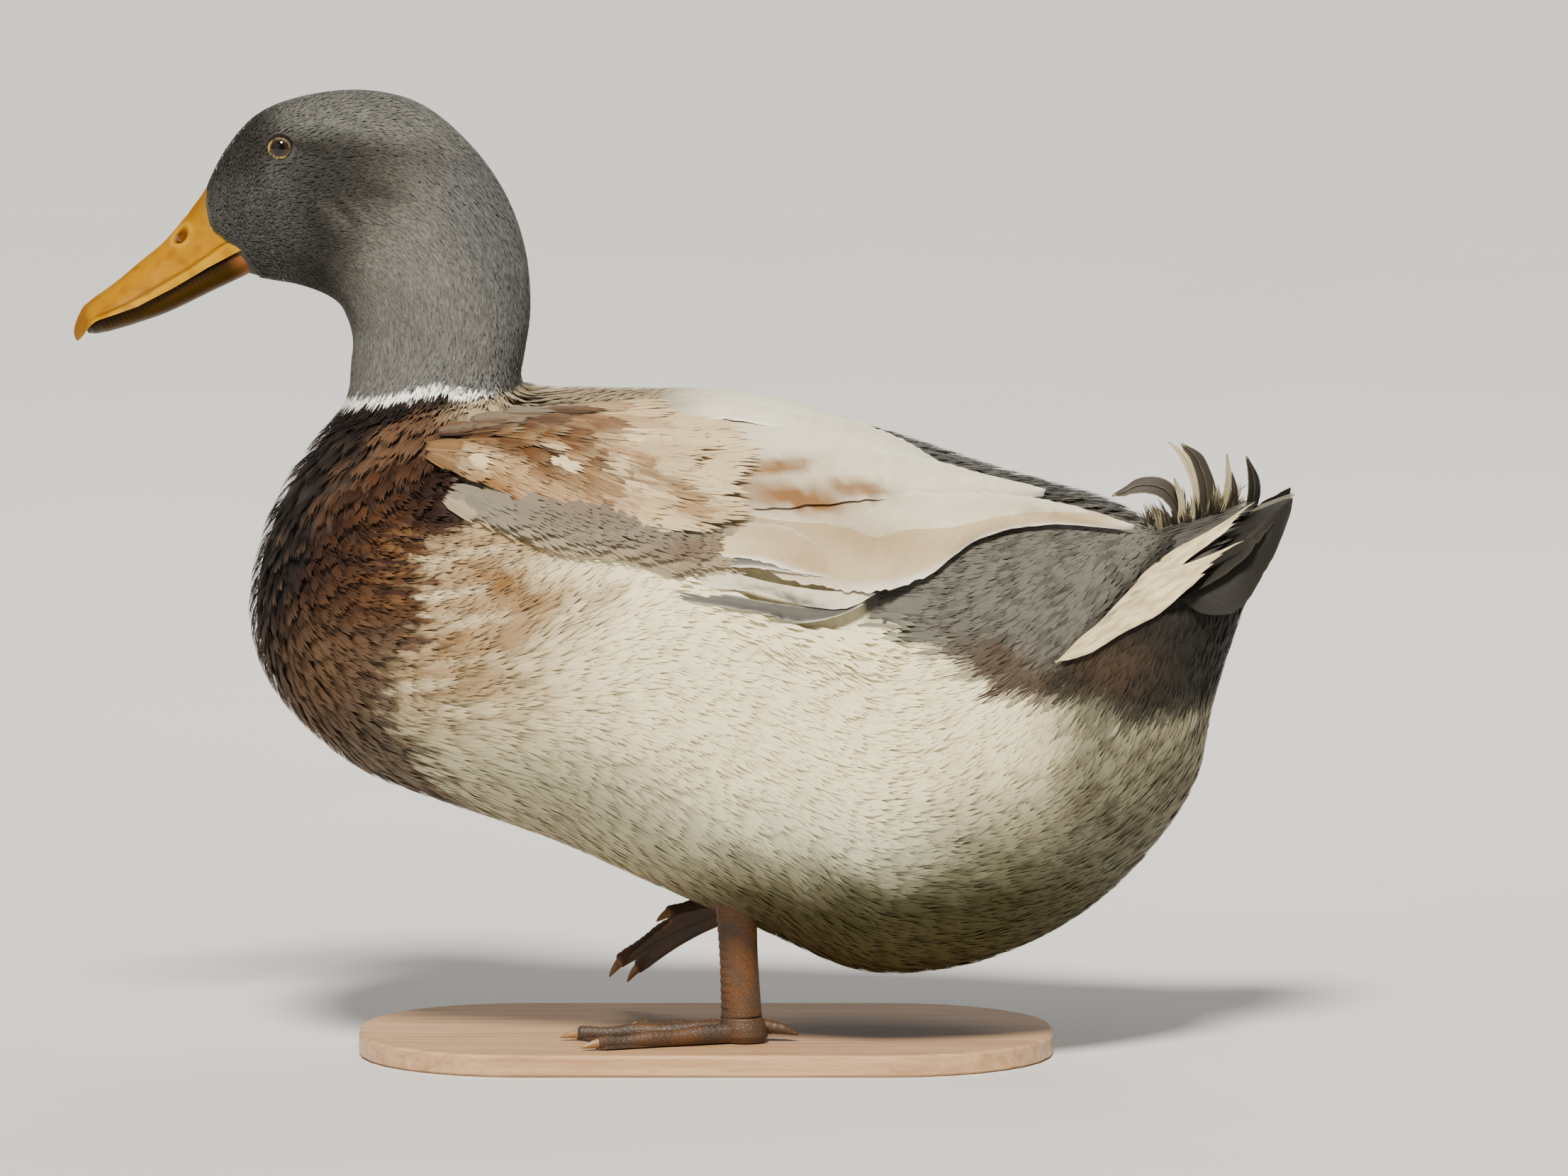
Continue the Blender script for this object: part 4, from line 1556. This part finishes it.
def eyeball(name, way):
    """A wet eye: a black pupil in a dark brown iris."""
    centre, look, _, _ = eye_frame(way)
    bm = bmesh.new()
    bmesh.ops.create_uvsphere(bm, u_segments=48, v_segments=32, radius=EYE_RADIUS)
    turn = Vector((0, 0, 1)).rotation_difference(look).to_matrix()
    bmesh.ops.rotate(bm, verts=bm.verts, matrix=turn)
    bmesh.ops.translate(bm, verts=bm.verts, vec=centre)

    def tint_of(points):
        away = unit(points - np.array(centre)) @ np.array(look)
        angle = np.degrees(np.arccos(np.clip(away, -1, 1)))
        return layered(plain("eye_rim", points), ("iris", smooth(38, 31, angle) * 0.8),
                       ("pupil", smooth(27, 24, angle)))

    return finished(name, bm, tint_of, MATERIALS["eye"])


def eyelid(name, way):
    """The bare ring of lid skin round an eye, with fine folds."""
    centre, look, ahead, up = eye_frame(way)
    rings = []
    for k in range(56):
        angle = 2 * math.pi * k / 56
        flat = ahead * (math.cos(angle) * LID_REACH[0]) + up * (math.sin(angle) * LID_REACH[1])
        away = flat.normalized()
        lift = math.sqrt(EYE_RADIUS ** 2 - flat.length_squared) + 0.12
        middle = centre + flat + look * lift
        fold = 1 + 0.08 * math.sin(angle * 17)
        ring = []
        for j in range(12):
            c, s = math.cos(2 * math.pi * j / 12), math.sin(2 * math.pi * j / 12)
            ring.append(middle + away * (0.50 * fold * c) + look * (0.36 * fold * s - 0.2 * c))
        rings.append(ring)

    def tint_of(points):
        offset = points - np.array(centre)
        front = smooth(3.0, -3.5, offset[:, 0] + offset[:, 2])
        rough = smooth(-0.1, 0.5, wobble(points, 1.5, 51))
        return layered(plain("lid", points), ("lid_ring", (0.25 + 0.75 * front) * rough))

    return lofted(name, rings, tint_of, MATERIALS["lid"], closed=True)


# Legs and feet


# Each toe's turn across the foot in degrees, its length, and its width at the root
TOES = ((-27, 54, 8), (0, 69, 8.6), (24, 65, 8))
CLAW_LENGTH = 7.0
WEB_SAG = 11.0
SHANK_START = 9.0
UPWARD = np.array((0, 0, 1))
# How each foot stands: its mirror side, its turn in degrees, its ankle's place and the bend of its toes
Stance = namedtuple("Stance", "mirror turn ankle curl")
FEET = {
    "left": Stance(1, (0.0, 0.0, -4.0), (20.5, -34.0, 0.0), 0.0),
    "right": Stance(-1, (-8.0, -26.0, 6.0), (31.0, 42.0, 38.0), 0.011),
}
# Where the toes' bend begins
BALL = -8


def circle(count):
    """Angles evenly spaced round a circle."""
    return np.linspace(0, 2 * math.pi, count, endpoint=False)


def leg_tint(points):
    """Orange skin, dirtier low down and on the far leg."""
    dirt = 0.25 + 0.35 * smooth(16, 2, points[:, 2]) + 0.3 * smooth(-10, 10, points[:, 1])
    dirt = dirt + 0.28 * wobble(points, 13, 61)
    return np.clip(layered(plain("leg_orange", points), ("mud", dirt)), 0, 1)


def shank(name, low, high, low_half, high_half):
    """A scaled shank with broad plates down its front."""
    low, high = np.array(low), np.array(high)
    axis = unit(high - low)
    front = unit(np.array((-1.0, 0, 0)) - axis * -axis[0])
    side = np.cross(axis, front)
    length = float(np.linalg.norm(high - low))
    angle = circle(48)
    rings = []
    for at in np.arange(0, length + 0.01, 0.5):
        share = at / length
        waist = 1 - 0.10 * math.sin(math.pi * share)
        deep = (low_half[0] + (high_half[0] - low_half[0]) * share) * waist
        wide = (low_half[1] + (high_half[1] - low_half[1]) * share) * waist
        ridge = (at / 3.1) % 1.0
        plate = (0.5 * math.sqrt(1 - ridge) - 0.3) * smooth(0.35, 0.75, np.cos(angle))
        deep, wide = deep - 0.3 + plate, wide - 0.3 + plate
        rings.append(low + (high - low) * share + front * (deep * np.cos(angle))[:, None]
                     + side * (wide * np.sin(angle))[:, None])
    return lofted(name, rings, leg_tint, MATERIALS["leg"])


def web_reach(turn):
    """How far the foot's edge lies from its heel at an angle across the foot, in degrees."""
    if turn <= TOES[0][0]:
        return TOES[0][1] - CLAW_LENGTH + 2 - 1.6 * (TOES[0][0] - turn)
    if turn >= TOES[-1][0]:
        return TOES[-1][1] - CLAW_LENGTH + 2 - 1.6 * (turn - TOES[-1][0])
    i = max(k for k in range(len(TOES) - 1) if TOES[k][0] <= turn)
    low, high = TOES[i], TOES[i + 1]
    share = (turn - low[0]) / (high[0] - low[0])
    reach = low[1] + (high[1] - low[1]) * share - CLAW_LENGTH + 2
    return reach - WEB_SAG * math.sin(math.pi * share) ** 0.8


def set_down(points, stance):
    """Points of a foot bent at the ball, turned about the ankle and moved to it."""
    points = points.copy()
    if stance.curl:
        bent = points[:, 0] < BALL
        radius = 1 / stance.curl
        angle = (BALL - points[bent, 0]) / radius
        height = points[bent, 2]
        points[bent, 0] = BALL - (radius + height) * np.sin(angle)
        points[bent, 2] = (radius + height) * np.cos(angle) - radius
    pitch, roll, yaw = (math.radians(value) for value in stance.turn)
    matrix = Matrix.Rotation(yaw, 3, "Z") @ Matrix.Rotation(pitch, 3, "Y") @ Matrix.Rotation(roll, 3, "X")
    return points @ np.array(matrix).T + np.array(stance.ankle)


def foot_piece(name, stance, rings, tint_of=leg_tint, material="leg"):
    """A closed piece of a foot, through rings on the foot as it lies flat."""
    return lofted(name, [set_down(ring, stance) for ring in rings], tint_of, MATERIALS[material])


def toe_heading(stance, toe_turn):
    """The direction of a toe, and the direction across it."""
    angle = math.radians(toe_turn)
    heading = np.array((-math.cos(angle), -math.sin(angle) * stance.mirror, 0.0))
    return heading, np.array((-heading[1], heading[0], 0.0))


def web_sheet(name, stance):
    """The web between the toes, thin and finely wrinkled, as a closed sheet."""
    turns = np.linspace(TOES[0][0] - 2.5, TOES[-1][0] + 2.5, 61)
    steps = 40
    top = []
    for degrees in turns:
        distance = np.linspace(4.0, web_reach(degrees), steps)
        angle = math.radians(degrees)
        folds = 0.16 * np.sin(np.hypot(distance, degrees * 0.4) * 2.1) + 0.12 * math.sin(degrees * 1.7)
        top.append(np.stack((4 - distance * math.cos(angle), -distance * math.sin(angle) * stance.mirror,
                             1.5 + folds * smooth(6, 20, distance)), axis=1))
    top = np.concatenate(top)
    low = top.copy()
    low[:, 2] = 0.25
    points = set_down(np.concatenate((top, low)), stance)
    triangles = sheet_triangles(len(turns), steps)[:, ::stance.mirror]
    rim = sheet_rim(len(turns), steps)
    return join_triangles(name, points, triangles, leg_tint(points), None, MATERIALS["leg"], rim)


def toe(name, stance, toe_turn, length, root):
    """One toe: three joints with plates across its top, tapering to the claw."""
    heading, across = toe_heading(stance, toe_turn)
    turns = circle(28)
    reach = length - CLAW_LENGTH
    rings = []
    for distance in np.arange(0.0, reach + 0.01, 0.55):
        share = distance / reach
        joint = 0.10 * math.cos(share * 6 * math.pi) * share
        ridge = (distance / 2.4) % 1.0
        plate = (0.36 * math.sqrt(1 - ridge) - 0.2) * smooth(0.2, 0.7, np.sin(turns))
        half = root * 0.5 * (1 - 0.45 * share) * (1 + joint)
        wide = np.minimum(half * 0.92, 4.2) + plate * 0.5
        tall = half + plate
        centre = heading * distance + np.array((4.0, 0, half * 0.96))
        lift = np.maximum(centre[2] + tall * np.sin(turns), 0.1) - centre[2]
        rings.append(centre + across * (wide * np.cos(turns))[:, None] + UPWARD * lift[:, None])
    end = rings[-1].mean(axis=0)
    for share, size in ((0.5, 0.8), (0.9, 0.45)):
        rings.append(end + (rings[-1] - rings[-1].mean(axis=0)) * size + heading * 1.4 * share)
    return foot_piece(name, stance, rings)


def claw(name, stance, toe_turn, length):
    """One claw: a tapered, slightly hooked cone of horn."""
    heading, across = toe_heading(stance, toe_turn)
    turns = circle(18)
    rings = []
    for share in np.linspace(0, 1, 15):
        radius = 1.9 * (1 - share) ** 0.7 + 0.15
        centre = heading * (length - CLAW_LENGTH - 3 + (CLAW_LENGTH + 3) * share) + np.array((4, 0, 2.5))
        centre[2] -= 1.6 * share ** 2
        rings.append(centre + across * (radius * np.cos(turns))[:, None]
                     + UPWARD * (radius * 1.15 * np.sin(turns))[:, None])

    def tint_of(points):
        return plain("claw", points)

    return foot_piece(name, stance, rings, tint_of, "claw")


def heel_and_hind_toe(name, stance):
    """The knuckled joint over the toes, and the small raised hind toe."""
    heel, hind = [], []
    turns = circle(40)
    for share in np.linspace(0, 1, 24):
        x, radius, z = (np.interp(share, (0, 0.27, 0.6, 1), row) for row in (
            (1.5, 1.2, 0.8, 0.4), (6.4, 7.6, 7.4, 6.6), (0.15, 2.4, 5.4, SHANK_START)))
        heel.append(np.stack((x + radius * np.cos(turns) * 1.15, radius * np.sin(turns),
                              np.full_like(turns, z)), axis=1))
    turns = circle(20)
    for share in np.linspace(0, 1, 26):
        x, radius, z = (np.interp(share, (0, 0.39, 0.71, 1), row) for row in (
            (5.0, 11.0, 16.0, 20.5), (2.6, 2.5, 1.9, 0.5), (5.8, 5.0, 4.2, 2.4)))
        radius = radius * (1 + 0.06 * math.sin(share * 40))
        hind.append(np.stack((np.full_like(turns, x), 3 * stance.mirror + radius * np.cos(turns),
                              z + radius * np.sin(turns)), axis=1))
    return [foot_piece(name + "_heel", stance, heel), foot_piece(name + "_hind_toe", stance, hind)]


def whole_foot(side, stance):
    """Every piece of one foot."""
    pieces = [web_sheet("web_" + side, stance)]
    for number, (toe_turn, length, root) in enumerate(TOES, 1):
        pieces.append(toe(f"toe_{side}_{number}", stance, toe_turn, length, root))
        pieces.append(claw(f"claw_{side}_{number}", stance, toe_turn, length))
    return pieces + heel_and_hind_toe("foot_" + side, stance)


# The bird


def clear_of_face(points):
    """Where feathers may stand on the head: not on the eye, and not under the bill's root."""
    away = np.hypot(points[:, 0] - EYE_CENTRE[0] + 0.6, (points[:, 2] - EYE_CENTRE[2]) * 1.1)
    along, _, up = bill_frame(points)
    on_the_bill = (along > np.interp(up, (0, 5, 13, 26), (2.0, 3.4, 8.5, 5.0))) & (up < 26)
    return ((away > 4.6) | (np.abs(points[:, 1]) < 8)) & ~on_the_bill


# The border along which the flank's feathers lie over the wing, in x and height in the view
FLANK_TOP = ((-90, 193), (-77, 189), (-66, 184), (-49, 179), (-29, 177), (-8, 169), (6, 161), (26, 150),
             (44, 145), (62, 147), (68, 153))


def from_top(points):
    """The angles of points round the body's axis, in degrees from the top."""
    return np.degrees(np.arctan2(np.abs(points[:, 1]), points[:, 2] - AXIS_HEIGHT))


def outside_wing(points):
    """Where body feathers show: not inside the folded wing."""
    x, v = in_view(points)
    degrees = from_top(points)
    covered = (x > -84) & (x < 68) & (v > border(FLANK_TOP, x) - 1.5)
    covered &= degrees > 13 + 15 * smooth(-34, -60, x)
    rear = (x >= 68) & (x < 108) & (degrees > 26) & (degrees < np.interp(x, (68, 108), (62, 40)))
    return ~(covered | rear)


def over_wing(points):
    """How far feathers rise over the wing's lower edge and between the wings."""
    x, v = in_view(points)
    below = border(FLANK_TOP, x) - v
    degrees = from_top(points)
    # The back's plumage stands up a little between the wings
    back = 3.4 * smooth(46, 62, x) * smooth(172, 130, x) * smooth(24, 12, degrees)
    inner = np.interp(x, (134, 142, 149, 155, 161, 168, 178), (134, 143, 149, 156, 161, 166, 169))
    tail_side = 2.6 * smooth(128, 146, x) * smooth(0, 5, v - inner) * smooth(30, 10, v - inner)
    ridge = 2.0 * smooth(-80, -58, x) * smooth(14, -14, x) * smooth(21, 12, degrees)
    lower = 2.4 * smooth(16, 2, below) * smooth(-92, -70, x) * smooth(72, 56, x) * (below > -2)
    return back + ridge + tail_side + lower


def breast_fringe(points, tint, rng):
    """Pale tips on the dark front of the breast."""
    x, v = in_view(points)
    front = past(-x, -border(CHEST_REAR, v), 6)
    strength = (0.04 + 0.30 * front * past(-v, -200, 30)) * rng.uniform(0.0, 1.2, len(x)) ** 2
    return np.column_stack((plain("chest_edge", points), strength))


def pale_fringe(points, tint, rng):
    """Slightly paler tips."""
    return np.column_stack((np.clip(tint * 1.15 + 0.02, 0, 1), rng.uniform(0, 0.35, len(points))))


def faint_fringe(points, tint, rng):
    """Tips of the head's feathers, a little paler or darker."""
    colour = np.clip(tint * rng.uniform(0.45, 2.1, (len(points), 1)), 0, 1)
    return np.column_stack((colour, np.full(len(points), 0.75)))


def head_length(u):
    """The length of the head's feathers, shorter in the face."""
    return 2.6 + 2.0 * smooth(2, 7, u)


def keep(piece, *nodes, slot):
    """Lets a piece ride with the body, stand for its nodes and take a finish from the record."""
    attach(piece, "root")
    if nodes:
        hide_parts(*nodes)
    return piece


keep(skin_mesh(), "head", "neck", "torso", slot="cream_plumage")

# The head's and neck's feathers are single fine blades
HAIRLIKE = {"blades": 1, "rings": 1, "wide": 1.0, "crown": 0.25}
keep(coat("head_coat", scatter(0.15, 8.0, 1.15, 0.82, seed=1), head_length, 0.46, MATERIALS["velvet"],
          faint_fringe, where=clear_of_face, uneven=0.13, **HAIRLIKE), slot="grey_plumage")
keep(coat("neck_coat", scatter(8.0, 12.7, 1.4, 1.0, seed=2), 5.4, 0.58, MATERIALS["velvet"],
          faint_fringe, uneven=0.14, **HAIRLIKE), slot="grey_plumage")

# Regions of the body's coat: where they start and end along the body, feather spacing, length and tips
REGIONS = (
    ("breast", 12.4, 18.0, 3.5, 10.5, breast_fringe),
    ("flank", 17.6, 25.2, 5.6, 18.0, pale_fringe),
    ("rump", 24.8, 31.6, 5.2, 17.0, pale_fringe),
)
# Each region has broad blades below, and finer and longer barbs over them. For both: how close they
# stand, how long and how wide they are as shares of the region's length and spacing, and their shape
LAYERS = (
    ("coat", 1.0, 1.0, 0.85, {"rings": 2, "wide": 2.0, "crown": 0.06, "deep": 1.0}),
    ("barbs", 0.9, 1.15, 0.8,
     {"rings": 1, "wide": 0.6, "crown": 0.12, "deep": 0.97, "loose": 0.15, "ragged": 0.2}),
)
SIDES = (("left", 0.0, math.pi), ("right", math.pi, 2 * math.pi))
for region, u_low, u_high, gap, length, fringe in REGIONS:
    for side, turn_low, turn_high in SIDES:
        for seed, (layer, closer, longer, wider, shape) in enumerate(LAYERS, 3):
            places = scatter(u_low, u_high, gap * closer, gap * closer, turn_low, turn_high, seed)
            keep(coat(f"{region}_{layer}_{side}", places, length * longer, gap * wider, MATERIALS["contour"],
                      fringe, lift=over_wing, where=outside_wing, blades=9, **shape), slot="cream_plumage")

vanes = wing_vanes()
keep(vane_sheets("wing_left_vanes", vanes, marks=wing_marks), "wing_left", slot="wing_plumage")
keep(vane_sheets("wing_right_vanes", [pressed(vane) for vane in vanes], mirror=True, marks=wing_marks),
     "wing_right", slot="wing_plumage")
for side, mirror in (("left", False), ("right", True)):
    keep(small_coverts("small_coverts_" + side, mirror), slot="wing_plumage")
    keep(shoulder_feathers("shoulder_" + side, mirror), slot="wing_plumage")
keep(vane_sheets("tail_vanes", tail_vanes()), "tail", slot="tail_plumage")
bands = band_vanes()
keep(vane_sheets("tail_bands_left", bands, marks=band_marks), slot="tail_plumage")
keep(vane_sheets("tail_bands_right", bands, mirror=True, marks=band_marks), slot="tail_plumage")
keep(vane_sheets("tail_curls", curled_vanes()), slot="tail_plumage")
keep(curl_tuft(), slot="tail_plumage")
keep(tail_coverts("tail_top_coverts"), slot="tail_plumage")
keep(tail_coverts("tail_under_coverts", under=True, seed=4), slot="tail_plumage")

keep(upper_bill(), "bill_upper", slot="bill_horn")
keep(lower_bill(), "bill_lower", slot="bill_horn")
for side, way in (("left", -1), ("right", 1)):
    keep(eyeball("eyeball_" + side, way), "eye_" + side, slot="eye_brown")
    keep(eyelid("eyelid_" + side, way), slot="bill_horn")

keep(shank("shank_left", (20.9, -34, 9.35), (18.5, -35, 60), (7.6, 6.4), (8.4, 6.0)), "leg_left",
     slot="leg_skin")
keep(shank("shank_right", (32, 42, 42), (58, 43, 56), (7.2, 6.2), (8.6, 6.2)), "leg_right", slot="leg_skin")
for side, stance in FEET.items():
    foot = whole_foot(side, stance)
    keep(foot[0], "foot_" + side, slot="leg_skin")
    for piece in foot[1:]:
        keep(piece, slot="leg_skin")

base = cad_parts["stand_base"]
for slot in base.material_slots:
    slot.material = MATERIALS["wood"]

# Floor, lights and camera


def pale_floor():
    """A wide flat sheet of pale paper, which fills the view from every side."""
    paper, tree, shader = start_material("studio_paper", 0.85)
    grain = add(tree, "ShaderNodeTexNoise", {"Scale": 6.0, "Detail": 2.0}, {"Vector": object_place(tree)})
    tones = add(tree, "ShaderNodeValToRGB", links={"Fac": grain.outputs["Fac"]})
    for element, code in zip(tones.color_ramp.elements, ("#cfcdc8", "#d5d3ce")):
        element.color = (*linear(code), 1)
    tree.links.new(tones.outputs["Color"], shader.inputs["Base Color"])
    bm = bmesh.new()
    bmesh.ops.create_circle(bm, cap_ends=True, segments=64, radius=FLOOR_RADIUS)
    mesh = bpy.data.meshes.new("floor")
    bm.to_mesh(mesh)
    bm.free()
    mesh.materials.append(paper)
    return placed("floor", mesh)


def studio_light(name, kind, place, energy, colour, **settings):
    """A light that faces the bird."""
    light = bpy.data.lights.new(name, kind)
    light.energy = energy
    light.color = colour
    for setting, value in settings.items():
        setattr(light, setting, value)
    made = placed(name, light)
    made.location = place
    made.rotation_euler = (LIGHT_AIM - Vector(place)).to_track_quat("-Z", "Y").to_euler()


LIGHT_AIM = Vector((0, 0, 0.17))
SKY_STRENGTH = 0.28
pale_floor()
# The key light is so far away that it lights the bird and the floor alike
studio_light("key_light", "SUN", (-0.15, -1.35, 1.9), 6.6, (1.0, 0.96, 0.88), angle=math.radians(12))
studio_light("front_fill", "AREA", (-1.3, -1.2, 0.8), 4, (0.95, 0.97, 1.0), size=1.4)
studio_light("rim_light", "AREA", (0.5, 1.3, 1.5), 14, (1.0, 0.98, 0.95), size=0.8)

world = bpy.data.worlds.new("studio")
world.use_nodes = True
sky = world.node_tree.nodes["Background"]
sky.inputs["Color"].default_value = (*linear("#e8ebee"), 1)
sky.inputs["Strength"].default_value = SKY_STRENGTH
bpy.context.scene.world = world

lens = bpy.data.cameras.new("camera")
lens.sensor_width = SENSOR
lens.lens = SENSOR * CAMERA_AWAY / FRAME_WIDTH
lens.clip_end = 20
camera = placed("camera", lens)
aim = Vector(CAMERA_AIM) * MM
camera.location = aim + Vector((0, -RISE_COS, RISE_SIN)) * CAMERA_AWAY * MM
camera.rotation_euler = (aim - camera.location).to_track_quat("-Z", "Y").to_euler()
bpy.context.scene.camera = camera
